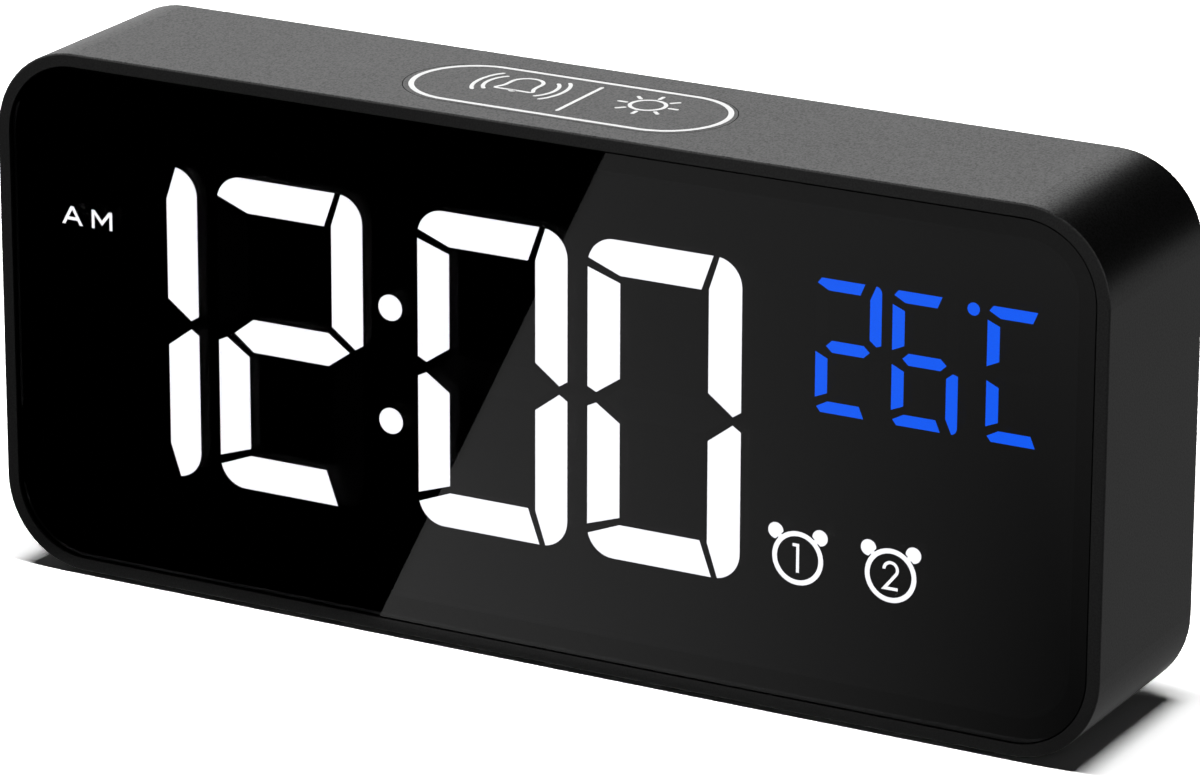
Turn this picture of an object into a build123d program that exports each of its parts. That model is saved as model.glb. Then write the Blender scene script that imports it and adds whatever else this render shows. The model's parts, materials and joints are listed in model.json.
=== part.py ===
"""Digital alarm clock: a free-standing LED clock with a two-way key in its top.

Millimetres. X runs along the clock, Z up, and the front looks towards -Y. The origin is on the
surface that the clock stands on, below the middle of the case. A "depth" is measured from the
front face towards the rear, and a "level" from the case's mid height upwards.
"""
from build123d import *
import os

os.makedirs("parts", exist_ok=True)

# Case
case_width = 163.0
case_height = 72.8
case_depth = 28.6
case_corner = 12.0
wall = 2.2
rim_width = 1.75
front_edge_radius = 0.25
rear_edge_radius = 0.5

# Lens and the ledge that carries it
lens_thickness = 2.0
lens_recess = 0.1
lens_gap = 0.1
lens_bevel = 0.12
tape_thickness = 0.25
tape_inset = 0.2
ledge_reach = 3.0
ledge_thickness = 1.6

# Display
film_gap = 0.25
film_thickness = 0.15
film_inset = 3.7
diffuser_thickness = 1.0
housing_depth = 6.05
housing_side_gap = 0.55
housing_top_margin = 10.4
housing_bottom_margin = 12.9
well_inset = 0.5
well_corner = 0.5
plate_shelf = 1.0
board_thickness = 1.6
display_board_clearance = 0.7
notch_margin = 2.5
notch_drop = 0.5
display_boss_radius = 2.5
display_boss_inset = 2.0
display_boss_level = 16.0

time_margin = 0.72
digit_gaps = (3.1, 8.3, 2.95)
group_gap = 10.45
digit_margin = 3.1
digit_stroke = 4.75
digit_corner = 3.8
digit_raise = -0.29

small_width = 9.2
small_height = 17.8
small_stroke = 1.55
small_corner = 0.9
small_well_radius = 0.68
small_drop = 0.49
small_inset = 33.78
small_pitch = 10.7
unit_offset = 23.8
degree_radius = 0.85
degree_offset = 21.85

colon_radius = 1.79
colon_spread = 15.6
colon_drop = 0.53

mark_inset = 4.93
mark_drop = 9.14
mark_stroke = 0.44
mark_height = 2.55
mark_letter_width = 2.8
mark_letter_pitch = 4.7
mark_plate = (9.4, 5.0)

alarm_offsets = (-2.12, 11.08)
alarm_rise = 7.62
alarm_ring_radius = 3.3
alarm_stroke = 0.68
alarm_cap_radius = 1.09
alarm_cap_x = 3.16
alarm_cap_y = 3.26
alarm_cap_cut = 1.0
alarm_disc_radius = 5.3
numeral_stroke = 0.42
numeral_height = 3.5
numeral_flag = 0.75
numeral_bow = 0.95

# Rear cover
rabbet_wall = 1.2
cover_gap = 0.1
cover_recess = 1.0
cover_thickness = 2.0
boss_radius = 3.0
boss_inset = 6.9
boss_start = 11.5
screw_radius = 1.25
screw_clearance = 0.03
screw_length = 9.0
screw_head_radius = 2.2
small_head_radius = 1.85
screw_head_height = 1.2
screw_head_edge = 0.4
recess_length = 2.4
recess_width = 0.5
recess_depth = 0.7
hole_clearance = 0.2
counterbore_clearance = 0.3

# Feet
foot_length = 16.0
foot_width = 5.0
foot_height = 0.6
foot_recess = 0.6
foot_inset_x = 22.5
foot_inset_y = 5.8
foot_clearance = 0.05

# Key in the top
key_x = -1.8
key_shift = 0.5
key_length = 47.0
key_margin = 5.2
key_gap = 0.12
skirt_inset = 1.7
skirt_thickness = 1.0
skirt_drop = 1.4
pivot_drop = 1.8
pivot_radius = 1.0
pivot_clearance = 0.05
pin_length = 2.0
lug_thickness = 1.7
lug_inset = 1.4
lug_foot = 0.4
lug_width = 4.4
cradle_width = 5.2
cradle_drop = 1.8
cradle_relief = 0.4
cradle_gap = 0.2
cradle_root = 2.0
cradle_end_gap = 0.3
snap_width = 1.7
key_arm = 11.0
presser_radius = 2.2
presser_gap = 0.05

# Push switches
switch_size = 6.0
switch_body = 3.5
switch_height = 5.0
switch_room = 0.8
plunger_radius = 1.7
plunger_clearance = 0.05
plunger_seat = 0.8
plunger_room = 0.5

# Board below the key in the top
key_board_width = 8.5
key_board_thickness = 1.2
key_board_gap = 0.5
key_board_end = 3.0
key_post_gap = 2.0
key_post_radius = 2.4

# Main board, carried by posts on the rear cover
main_board_depth = 13.0
main_board_side_margin = 14.5
main_board_top_gap = 2.6
main_board_bottom_margin = 9.4
post_radius = 2.8
post_inset_x = 5.0
post_inset_y = 4.0
post_hole_depth = 6.5
post_screw_bite = 6.0

# Pieces on the two boards, placed clear of the posts and the switches
driver_place = (22.0, 8.0)
driver_size = (12.0, 5.3, 1.7)
controller_offset = 52.0
controller_level = -3.0
controller_size = (17.9, 7.5, 2.4)
connector_x = -20.0
connector_size = (22.0, 4.6)
crystal_offset = 31.0
crystal_size = (11.0, 4.7)
crystal_height = 3.4
capacitor_offset = 15.0
capacitor_level = -4.0
capacitor_radius = 4.0
capacitor_gap = 1.0
buzzer_radius = 6.0
buzzer_gap = 2.0
buzzer_hole_radius = 1.0
thermistor_inset = 12.5
thermistor_rise = 3.0
thermistor_size = (2.8, 1.9)
thermistor_pitch = 1.4
thermistor_gap = 2.2
lamp_size = 0.8
lamp_height = 0.6
lead_radius = 0.3
lead_pitch = 1.27
lead_width = 0.45
lead_thickness = 0.3
lead_reach = 1.3

# Setting keys in the rear cover
rear_key_names = ("time_key", "alarm_one_key", "alarm_two_key", "up_key", "down_key")
rear_key_pitch = 19.0
rear_key_drop = 7.5
rear_key_length = 10.5
rear_key_height = 5.5
rear_key_proud = 0.7
rear_key_clearance = 0.1
rear_key_flange = 0.9
rear_key_flange_thickness = 1.0
rear_key_edge = 0.4
stem_radius = 1.6

# Coin cell bay and its door
bay_inset = 31.5
bay_level = -8.0
bay_radius = 10.6
bay_depth = 5.1
bay_wall = 1.4
bay_floor = 1.2
door_radius = 12.6
door_clearance = 0.1
door_lug_reach = 1.4
door_lug_width = 6.0
door_lug_thickness = 1.0
door_lug_turn = 40.0
door_lug_gap = 0.1
door_rim = 3.0
coin_slot_length = 14.0
coin_slot_width = 1.8
coin_slot_depth = 1.0
cup_flange = 1.5
ear_reach = 3.2
ear_radius = 2.6
peg_radius = 1.2
peg_length = 3.0
peg_clearance = 0.05
ear_thickness = 1.6
contact_length = 14.0
contact_width = 4.0
contact_thickness = 0.3
contact_nub_radius = 1.2
contact_rise = 0.7
clip_top = 1.6

# Inlet, outlets and sound holes
inlet_x = -24.0
outlet_x = (-4.0, 16.0)
socket_rise = 7.0
inlet_body = 10.0
inlet_neck_radius = 4.0
inlet_bore_radius = 2.8
inlet_bore_depth = 9.5
inlet_pin_radius = 1.0
inlet_pin_recess = 1.0
socket_clearance = 0.1
outlet_width = 13.1
outlet_height = 5.7
outlet_wall = 0.3
tongue_width = 11.1
tongue_thickness = 1.84
tongue_recess = 1.0
tongue_root = 2.5
tongue_rise = 0.9
sound_inset = 33.5
sound_level = -8.0
sound_hole_radius = 0.75
sound_pitch = 2.8

# Depths and levels that follow from the sizes above
half_width = case_width / 2
half_height = case_height / 2
case_mid = foot_height + half_height
lens_back = lens_recess + lens_thickness
ledge_front = lens_back + tape_thickness
ledge_back = ledge_front + ledge_thickness
pocket_width = case_width - 2 * rim_width
pocket_height = case_height - 2 * rim_width
pocket_corner = case_corner - rim_width
inner_width = case_width - 2 * wall
inner_height = case_height - 2 * wall
inner_corner = case_corner - wall
film_front = lens_back + film_gap
housing_front = film_front + film_thickness
display_board_front = housing_front + housing_depth
display_board_back = display_board_front + board_thickness
cover_outer = case_depth - cover_recess
cover_inner = cover_outer - cover_thickness
main_board_back = main_board_depth + board_thickness
key_depth = case_depth / 2 - key_shift
key_width = case_depth - 2 * key_margin
key_underside = half_height - wall
pivot_level = key_underside - pivot_drop
switch_top_level = key_underside - skirt_drop - switch_room
key_board_top = switch_top_level - switch_height
key_board_front = display_board_back + key_board_gap
key_post_spacing = key_length + 2 * (key_post_radius + key_post_gap)
key_board_length = key_post_spacing + 2 * key_board_end
notch_level = key_board_top - notch_drop

# Layout of the display: the time fills what the temperature and the margins leave
display_boss_x = half_width - wall - display_boss_inset
housing_width = 2 * (display_boss_x - display_boss_radius - housing_side_gap)
housing_top = half_height - housing_top_margin
housing_bottom = housing_bottom_margin - half_height
housing_middle = (housing_top + housing_bottom) / 2
time_left = time_margin - housing_width / 2
small_left = housing_width / 2 - small_inset
digit_width = (small_left - group_gap - time_left - sum(digit_gaps)) / 4
digit_height = housing_top - housing_bottom - 2 * digit_margin
digit_level = housing_middle + digit_raise
digit_base = digit_level - digit_height / 2
digit_lefts = [time_left + k * digit_width + sum(digit_gaps[:k]) for k in range(4)]
small_base = digit_base + digit_height - small_drop - small_height
unit_left = small_left + unit_offset
degree_x = small_left + degree_offset
colon_x = digit_lefts[2] - digit_gaps[1] / 2
colon_level = digit_level - colon_drop
mark_x = time_left + mark_inset
mark_level = digit_base + digit_height - mark_drop
alarm_x = [small_left + offset_x for offset_x in alarm_offsets]
alarm_level = housing_bottom + alarm_rise

# Layout of the main board and of the rear
main_board_width = case_width - 2 * main_board_side_margin
main_board_top = key_board_top - key_board_thickness - screw_head_height - main_board_top_gap
main_board_bottom = main_board_bottom_margin - half_height
main_board_height = main_board_top - main_board_bottom
main_board_level = (main_board_top + main_board_bottom) / 2
post_x = main_board_width / 2 - post_inset_x
post_levels = (main_board_bottom + post_inset_y, main_board_top - post_inset_y)
rear_key_level = main_board_top - rear_key_drop
socket_level = main_board_bottom + socket_rise
bay_x = half_width - bay_inset
sound_x = sound_inset - half_width
buzzer_height = cover_inner - main_board_back - buzzer_gap
capacitor_place = (sound_x + capacitor_offset, capacitor_level)
capacitor_height = cover_inner - main_board_back - capacitor_gap
crystal_place = (sound_x + crystal_offset, capacitor_level)
controller_place = (sound_x + controller_offset, controller_level)
connector_place = (connector_x, main_board_bottom + post_inset_y)
thermistor_place = (thermistor_inset - main_board_width / 2, main_board_bottom + thermistor_rise)
thermistor_standoff = cover_inner - main_board_back - thermistor_gap - thermistor_size[0]


def face_plane(depth):
    """Plane parallel to the front at this depth; a negative extrusion runs to the rear."""
    origin = (0, depth - case_depth / 2, case_mid)
    return Plane(origin=origin, x_dir=(1, 0, 0), z_dir=(0, -1, 0))


def level_plane(level):
    """Horizontal plane at this level; its y is the depth, counted from the front face."""
    origin = (0, -case_depth / 2, case_mid + level)
    return Plane(origin=origin, x_dir=(1, 0, 0), z_dir=(0, 0, 1))


def side_plane(x):
    """Plane across the clock at this x: its x runs to the rear from the front face, its y up."""
    origin = (x, -case_depth / 2, case_mid)
    return Plane(origin=origin, x_dir=(0, 1, 0), z_dir=(1, 0, 0))


def mirrored(points, height):
    """The same outline turned upside down within a digit of this height."""
    return [(x, height - y) for x, y in points]


def time_bar(letter):
    """Corner points of one bar of a time digit; a to g as on any seven-bar digit."""
    w, h, s = digit_width, digit_height, digit_stroke
    m = h / 2
    if letter == "d":
        return mirrored(time_bar("a"), h)
    if letter == "e":
        return mirrored(time_bar("f"), h)
    if letter == "c":
        return mirrored(time_bar("b"), h)
    if letter == "a":
        return [(0, h - 0.61 * s), (0, h), (w - 0.87 * s, h), (w - 1.23 * s, h - s), (s, h - s)]
    if letter == "f":
        inner, tip, outer = (s, m + 0.64 * s), (0.27 * s, m + 0.15 * s), (0, m + 0.28 * s)
        return [(0, h - 0.88 * s), (s, h - 1.21 * s), inner, tip, outer]
    if letter == "b":
        inner, tip, outer = (w - s, m + 0.68 * s), (w - 0.25 * s, m + 0.12 * s), (w, m + 0.28 * s)
        return [(w - 0.68 * s, h), (w, h), outer, tip, inner, (w - s, h - 0.96 * s)]
    lower = [(w - 1.12 * s, m - 0.48 * s), (1.14 * s, m - 0.48 * s)]
    upper = [(1.14 * s, m + 0.48 * s), (w - 1.12 * s, m + 0.48 * s)]
    return [(0.52 * s, m)] + upper + [(w - 0.44 * s, m)] + lower


def small_bar(letter):
    """Corner points of one bar of the temperature's digits, which have wider gaps."""
    w, h, s = small_width, small_height, small_stroke
    m = h / 2
    if letter == "d":
        return mirrored(small_bar("a"), h)
    if letter == "e":
        return mirrored(small_bar("f"), h)
    if letter == "c":
        return mirrored(small_bar("b"), h)
    if letter == "a":
        right = [(w - 1.52 * s, h), (w - 1.94 * s, h - s)]
        return [(0.13 * s, h - 0.46 * s), (0.5 * s, h)] + right + [(1.15 * s, h - s)]
    if letter == "f":
        return [(0, h - 1.24 * s), (1.1 * s, h - 1.69 * s), (1.1 * s, m + 1.09 * s), (0, m + 0.59 * s)]
    if letter == "b":
        lower = [(w, m + 0.73 * s), (w - 0.45 * s, m + 0.59 * s), (w - 1.05 * s, m + 1.07 * s)]
        return [(w - 0.5 * s, h), (w, h)] + lower + [(w - 1.05 * s, h - 1.24 * s)]
    lower = [(w - 1.57 * s, m - 0.51 * s), (1.49 * s, m - 0.51 * s)]
    upper = [(1.49 * s, m + 0.51 * s), (w - 1.57 * s, m + 0.51 * s)]
    return [(0.95 * s, m)] + upper + [(w - 1.03 * s, m)] + lower


def digit_sketch(left, base, letters, bar, width, height, corner):
    """Sketch of the named bars of one digit, trimmed to its rounded outline."""
    with BuildSketch(Plane.XY) as digit:
        for letter in letters:
            Polygon(*[(left + x, base + y) for x, y in bar(letter)])
        with Locations((left + width / 2, base + height / 2)):
            RectangleRounded(width, height, corner, mode=Mode.INTERSECT)
    return digit.sketch


def time_digit(place, letters):
    """Bars of the time digit at this place, counted from the left."""
    size = (digit_width, digit_height, digit_corner)
    return digit_sketch(digit_lefts[place], digit_base, letters, time_bar, *size)


def small_digit(left, letters):
    """Bars of one character of the temperature."""
    size = (small_width, small_height, small_corner)
    return digit_sketch(left, small_base, letters, small_bar, *size)


def mark_sketch():
    """The morning mark: two capital letters in plain strokes, cut level at their feet and heads."""
    left = mark_x - mark_letter_pitch / 2
    right = mark_x + mark_letter_pitch / 2
    half = mark_letter_width / 2
    foot = mark_level - mark_height / 2
    top = mark_level + mark_height / 2
    over = mark_stroke / 2
    with BuildSketch(Plane.XY) as mark:
        with BuildLine():
            Polyline((left - half - over / 2, foot - over), (left, top), (left + half + over / 2, foot - over))
        trace(line_width=mark_stroke)
        with BuildLine():
            bar = foot + mark_height / 3
            Line((left - 0.6 * half, bar), (left + 0.6 * half, bar))
        trace(line_width=mark_stroke)
        with BuildLine():
            middle = foot + mark_height / 3
            Polyline((right - half, foot - over), (right - half, top), (right, middle),
                     (right + half, top), (right + half, foot - over))
        trace(line_width=mark_stroke)
        with Locations((mark_x, mark_level)):
            Rectangle(2 * mark_letter_pitch, mark_height, mode=Mode.INTERSECT)
    return mark.sketch


def alarm_sketch(x, numeral):
    """Ring with two bell caps on top and a numeral inside, centred on the ring."""
    with BuildSketch(Plane.XY) as icon:
        for side in (-1, 1):
            cap = (x + side * alarm_cap_x, alarm_level + alarm_cap_y)
            neck = (x + 0.72 * side * alarm_cap_x, alarm_level + 0.72 * alarm_cap_y)
            with Locations(cap):
                Circle(alarm_cap_radius)
            with Locations(neck):
                Rectangle(2 * alarm_cap_radius, alarm_cap_cut, rotation=-45 * side, mode=Mode.SUBTRACT)
            with BuildLine():
                Line(neck, cap)
            trace(line_width=alarm_stroke)
        with Locations((x, alarm_level)):
            Circle(alarm_ring_radius + alarm_stroke / 2)
            Circle(alarm_ring_radius - alarm_stroke / 2, mode=Mode.SUBTRACT)
    top = alarm_level + numeral_height / 2
    foot = alarm_level - numeral_height / 2
    with BuildSketch(Plane.XY) as figure:
        with BuildLine():
            if numeral == 1:
                Polyline((x - numeral_flag, top), (x, top), (x, foot - numeral_stroke / 2))
            else:
                bow = CenterArc((x, top - numeral_bow), numeral_bow, 180, -215)
                Polyline(bow @ 1, (x - 0.9 * numeral_bow, foot), (x + 1.1 * numeral_bow, foot))
        trace(line_width=numeral_stroke)
    return icon.sketch + figure.sketch


lit_time = [time_digit(0, "bc"), time_digit(1, "abged"), time_digit(2, "abcdef")]
lit_time.append(time_digit(3, "abcdef"))
unlit_bars = [time_digit(1, "cf"), time_digit(2, "g"), time_digit(3, "g")]
lit_small = [small_digit(small_left, "abged"), small_digit(small_left + small_pitch, "acdefg")]
lit_small.append(small_digit(unit_left, "adef"))
unlit_bars += [small_digit(small_left, "cf"), small_digit(small_left + small_pitch, "b")]
unlit_bars.append(small_digit(unit_left, "g"))
lit_mark = mark_sketch()
alarm_icons = [alarm_sketch(alarm_x[0], 1), alarm_sketch(alarm_x[1], 2)]
with BuildSketch(Plane.XY) as colon_sketch:
    with Locations((colon_x, colon_level + colon_spread / 2), (colon_x, colon_level - colon_spread / 2)):
        Circle(colon_radius)
with BuildSketch(Plane.XY) as degree_sketch:
    with Locations((degree_x, small_base + small_height - degree_radius)):
        Circle(degree_radius)
bar_sketches = lit_time + lit_small + unlit_bars + [colon_sketch.sketch, degree_sketch.sketch]

# Places that several pieces share
foot_places = [
    (x * (half_width - foot_inset_x), case_depth / 2 + y * (case_depth / 2 - foot_inset_y))
    for x in (-1, 1) for y in (-1, 1)
]
boss_places = [
    (x * (half_width - boss_inset), y * (half_height - boss_inset)) for x in (-1, 1) for y in (-1, 1)
]
display_boss_places = [(x * display_boss_x, y * display_boss_level) for x in (-1, 1) for y in (-1, 1)]
post_places = [(x * post_x, level) for x in (-1, 1) for level in post_levels]
key_post_places = [(key_x + x * key_post_spacing / 2, key_board_front + key_board_width / 2) for x in (-1, 1)]
switch_places = [(key_x - key_arm, key_depth), (key_x + key_arm, key_depth)]
rear_key_places = [((k - 2) * rear_key_pitch, rear_key_level) for k in range(len(rear_key_names))]
outlet_places = [(x, socket_level) for x in outlet_x]
door_lug_radius = door_radius + door_lug_reach
ear_places = [(bay_x + side * (door_lug_radius + ear_reach), bay_level) for side in (-1, 1)]
front_lug_depth = key_depth - key_width / 2 + lug_inset
lug_bottom = pivot_level - pivot_radius - lug_foot
rear_lug_depth = 2 * key_depth - front_lug_depth

# Case: four walls in one moulding, with the rim and the ledge of the lens in front
with BuildPart() as case_shell:
    with BuildSketch(face_plane(0)):
        RectangleRounded(case_width, case_height, case_corner)
    extrude(amount=-case_depth)
    fillet(case_shell.faces().sort_by(Axis.Y)[0].edges(), front_edge_radius)
    fillet(case_shell.faces().sort_by(Axis.Y)[-1].edges(), rear_edge_radius)
    with BuildSketch(face_plane(0)):
        RectangleRounded(pocket_width, pocket_height, pocket_corner)
    extrude(amount=-ledge_front, mode=Mode.SUBTRACT)
    with BuildSketch(face_plane(ledge_front)):
        offset(
            RectangleRounded(pocket_width, pocket_height, pocket_corner, mode=Mode.PRIVATE),
            amount=-ledge_reach,
        )
    extrude(amount=-ledge_thickness, mode=Mode.SUBTRACT)
    with BuildSketch(face_plane(ledge_back)):
        RectangleRounded(inner_width, inner_height, inner_corner)
    extrude(amount=-(cover_inner - ledge_back), mode=Mode.SUBTRACT)
    with BuildSketch(face_plane(cover_inner)):
        RectangleRounded(
            case_width - 2 * rabbet_wall, case_height - 2 * rabbet_wall, case_corner - rabbet_wall
        )
    extrude(amount=-(case_depth - cover_inner), mode=Mode.SUBTRACT)
    # Bosses in the corners take the screws of the rear cover
    with BuildSketch(face_plane(boss_start)):
        with Locations(*boss_places):
            Circle(boss_radius)
    extrude(amount=-(cover_inner - boss_start))
    with BuildSketch(face_plane(cover_inner)):
        with Locations(*boss_places):
            Circle(screw_radius + screw_clearance)
    extrude(amount=screw_length, mode=Mode.SUBTRACT)
    # Bosses beside the display take the screws of its board
    with BuildSketch(face_plane(ledge_back)):
        with Locations(*display_boss_places):
            Circle(display_boss_radius)
    extrude(amount=-(display_board_front - ledge_back))
    with BuildSketch(face_plane(display_board_front)):
        with Locations(*display_boss_places):
            Circle(screw_radius + screw_clearance)
    extrude(amount=display_board_front - ledge_back - 0.6, mode=Mode.SUBTRACT)
    # Opening for the key, with the two cradles of its pivot pins below
    with BuildSketch(level_plane(half_height)):
        with Locations((key_x, key_depth)):
            SlotOverall(key_length + 2 * key_gap, key_width + 2 * key_gap)
    extrude(amount=-wall, mode=Mode.SUBTRACT)
    cradle_top = key_underside - cradle_relief
    cradle_foot = pivot_level - cradle_drop
    opening_front = key_depth - key_width / 2 - key_gap
    opening_rear = key_depth + key_width / 2 + key_gap
    cradle_seat = key_underside + cradle_gap
    front_cradle_back = front_lug_depth - cradle_gap
    rear_cradle_front = rear_lug_depth + cradle_gap
    rear_cradle_back = cover_inner - cradle_end_gap
    with BuildSketch(side_plane(key_x)):
        with BuildLine():
            Polyline(
                (ledge_back, cradle_foot), (front_cradle_back, cradle_foot),
                (front_cradle_back, cradle_top), (opening_front, cradle_top),
                (opening_front, cradle_seat), (ledge_back - cradle_gap, cradle_seat),
                (ledge_back - cradle_gap, key_underside - cradle_root),
                (ledge_back, key_underside - cradle_root), (ledge_back, cradle_foot),
            )
        make_face()
        with BuildLine():
            Polyline(
                (rear_cradle_back, cradle_foot), (rear_cradle_front, cradle_foot),
                (rear_cradle_front, cradle_top), (opening_rear, cradle_top),
                (opening_rear, cradle_seat), (rear_cradle_back, cradle_seat),
                (rear_cradle_back, cradle_foot),
            )
        make_face()
    extrude(amount=cradle_width / 2, both=True)
    with BuildSketch(face_plane(ledge_back + 0.05)):
        with Locations((key_x, pivot_level)):
            Circle(pivot_radius + pivot_clearance)
        with Locations((key_x, pivot_level - cradle_drop)):
            Rectangle(snap_width, 2 * cradle_drop)
    extrude(amount=-(front_cradle_back - ledge_back), mode=Mode.SUBTRACT)
    with BuildSketch(face_plane(rear_cradle_front)):
        with Locations((key_x, pivot_level)):
            Circle(pivot_radius + pivot_clearance)
        with Locations((key_x, pivot_level - cradle_drop)):
            Rectangle(snap_width, 2 * cradle_drop)
    extrude(amount=-(rear_cradle_back - rear_cradle_front), mode=Mode.SUBTRACT)
    # Posts under the top carry the key's board
    with BuildSketch(level_plane(key_board_top)):
        with Locations(*key_post_places):
            Circle(key_post_radius)
    extrude(amount=key_underside - key_board_top + 0.2)
    with BuildSketch(level_plane(key_board_top)):
        with Locations(*key_post_places):
            Circle(screw_radius + screw_clearance)
    extrude(amount=key_underside - key_board_top - 0.6, mode=Mode.SUBTRACT)
    # Shallow seats for the feet
    with BuildSketch(level_plane(-half_height)):
        with Locations(*foot_places):
            SlotOverall(foot_length + 2 * foot_clearance, foot_width + 2 * foot_clearance)
    extrude(amount=foot_recess, mode=Mode.SUBTRACT)
case_shell.part.label = "case_shell"
export_step(case_shell.part, "parts/case_shell.step")

# Feet: four rubber pads in their seats
with BuildPart() as rubber_feet:
    with BuildSketch(level_plane(-half_height - foot_height)):
        with Locations(*foot_places):
            SlotOverall(foot_length, foot_width)
    extrude(amount=foot_height + foot_recess)
    lowest = rubber_feet.faces().sort_by(Axis.Z)[:len(foot_places)]
    fillet([edge for face in lowest for edge in face.edges()], 0.2)
rubber_feet.part.label = "rubber_feet"
export_step(rubber_feet.part, "parts/rubber_feet.step")

# Lens: smoked panel in the rim, its front edge bevelled
with BuildPart() as front_lens:
    with BuildSketch(face_plane(lens_recess)):
        offset(
            RectangleRounded(pocket_width, pocket_height, pocket_corner, mode=Mode.PRIVATE),
            amount=-lens_gap,
        )
    extrude(amount=-lens_thickness)
    chamfer(front_lens.faces().sort_by(Axis.Y)[0].edges(), lens_bevel)
front_lens.part.label = "front_lens"
export_step(front_lens.part, "parts/front_lens.step")

# Tape: a ring between the lens and its ledge
with BuildPart() as lens_tape:
    with BuildSketch(face_plane(lens_back)):
        offset(
            RectangleRounded(pocket_width, pocket_height, pocket_corner, mode=Mode.PRIVATE),
            amount=-lens_gap - tape_inset,
        )
        offset(
            RectangleRounded(pocket_width, pocket_height, pocket_corner, mode=Mode.PRIVATE),
            amount=-ledge_reach,
            mode=Mode.SUBTRACT,
        )
    extrude(amount=-tape_thickness)
lens_tape.part.label = "lens_tape"
export_step(lens_tape.part, "parts/lens_tape.step")

# Film: black, with a window for each bar and sign
with BuildPart() as display_mask:
    with BuildSketch(face_plane(film_front)):
        offset(
            RectangleRounded(pocket_width, pocket_height, pocket_corner, mode=Mode.PRIVATE),
            amount=-film_inset,
        )
        for window in bar_sketches + alarm_icons + [lit_mark]:
            add(window, mode=Mode.SUBTRACT)
    extrude(amount=-film_thickness)
display_mask.part.label = "display_mask"
export_step(display_mask.part, "parts/display_mask.step")

# Housing: a front plate with a seat for each light bar, and a block with the wells behind them
with BuildPart() as display_housing:
    with BuildSketch(face_plane(housing_front)):
        offset(
            RectangleRounded(pocket_width, pocket_height, pocket_corner, mode=Mode.PRIVATE),
            amount=-film_inset,
        )
    extrude(amount=-diffuser_thickness)
    with BuildSketch(face_plane(housing_front + diffuser_thickness)):
        with Locations((0, housing_middle)):
            RectangleRounded(housing_width, housing_top - housing_bottom, 3)
    extrude(amount=-(housing_depth - diffuser_thickness))
    with BuildSketch(face_plane(housing_front)):
        for window in bar_sketches:
            add(window)
        with Locations((mark_x, mark_level)):
            RectangleRounded(*mark_plate, 1)
        with Locations(*[(x, alarm_level) for x in alarm_x]):
            Circle(alarm_disc_radius)
    extrude(amount=-diffuser_thickness, mode=Mode.SUBTRACT)
    with BuildSketch(face_plane(housing_front + diffuser_thickness)):
        for window in lit_time + unlit_bars[:3]:
            for face in window.faces():
                offset(face, amount=-well_inset, kind=Kind.INTERSECTION, mode=Mode.ADD)
        for window in lit_small + unlit_bars[3:]:
            for face in window.faces():
                with Locations(face.center()):
                    Circle(small_well_radius)
        with Locations(*[face.center() for face in colon_sketch.sketch.faces()]):
            Circle(colon_radius - well_inset)
        with Locations((mark_x, mark_level)):
            RectangleRounded(mark_plate[0] - 2 * plate_shelf, mark_plate[1] - 2 * plate_shelf, well_corner)
        with Locations(*[(x, alarm_level) for x in alarm_x]):
            Circle(alarm_disc_radius - plate_shelf)
    extrude(amount=-(housing_depth - diffuser_thickness), mode=Mode.SUBTRACT)
display_housing.part.label = "display_housing"
export_step(display_housing.part, "parts/display_housing.step")


def light_bars(sketches):
    """Light bars that fill the film's windows and sit on the edges of their wells."""
    with BuildPart() as bars:
        with BuildSketch(face_plane(film_front)):
            for window in sketches:
                add(window)
        extrude(amount=-(film_thickness + diffuser_thickness))
    return bars.part


def light_plate(outline, raised):
    """A light plate in the housing with its signs raised through the film."""
    with BuildPart() as plate:
        with BuildSketch(face_plane(housing_front)):
            add(outline)
        extrude(amount=-diffuser_thickness)
        with BuildSketch(face_plane(film_front)):
            add(raised)
        extrude(amount=-film_thickness)
    return plate.part


time_segments = light_bars(lit_time)
time_segments.label = "time_segments"
export_step(time_segments, "parts/time_segments.step")

unlit_segments = light_bars(unlit_bars)
unlit_segments.label = "unlit_segments"
export_step(unlit_segments, "parts/unlit_segments.step")

colon_dots = light_bars([colon_sketch.sketch])
colon_dots.label = "colon_dots"
export_step(colon_dots, "parts/colon_dots.step")

temperature_segments = light_bars(lit_small + [degree_sketch.sketch])
temperature_segments.label = "temperature_segments"
export_step(temperature_segments, "parts/temperature_segments.step")

mark_outline = Pos(mark_x, mark_level) * RectangleRounded(*mark_plate, 1)
am_indicator = light_plate(mark_outline, lit_mark)
am_indicator.label = "am_indicator"
export_step(am_indicator, "parts/am_indicator.step")

for name, x, icon in zip(("alarm_one_icon", "alarm_two_icon"), alarm_x, alarm_icons):
    alarm_plate = light_plate(Pos(x, alarm_level) * Circle(alarm_disc_radius), icon)
    alarm_plate.label = name
    export_step(alarm_plate, f"parts/{name}.step")

# Board behind the housing, with a lamp in each well
with BuildPart() as display_board:
    with BuildSketch(face_plane(display_board_front)):
        offset(
            RectangleRounded(inner_width, inner_height, inner_corner, mode=Mode.PRIVATE),
            amount=-display_board_clearance,
        )
        with Locations(*display_boss_places):
            Circle(screw_radius + hole_clearance, mode=Mode.SUBTRACT)
        # Notch that leaves the key in the top its room
        with Locations((key_x, half_height)):
            Rectangle(key_length + 2 * notch_margin, 2 * (half_height - notch_level), mode=Mode.SUBTRACT)
    extrude(amount=-board_thickness)
display_board.part.label = "display_board"
export_step(display_board.part, "parts/display_board.step")

lamp_places = [face.center() for window in bar_sketches[:-1] for face in window.faces()]
lamp_places += [Vector(mark_x, mark_level), Vector(alarm_x[0], alarm_level), Vector(alarm_x[1], alarm_level)]
with BuildPart() as led_chips:
    with BuildSketch(face_plane(display_board_front)):
        with Locations(*lamp_places):
            Rectangle(lamp_size, lamp_size)
    extrude(amount=lamp_height)
led_chips.part.label = "led_chips"
export_step(led_chips.part, "parts/led_chips.step")


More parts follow.
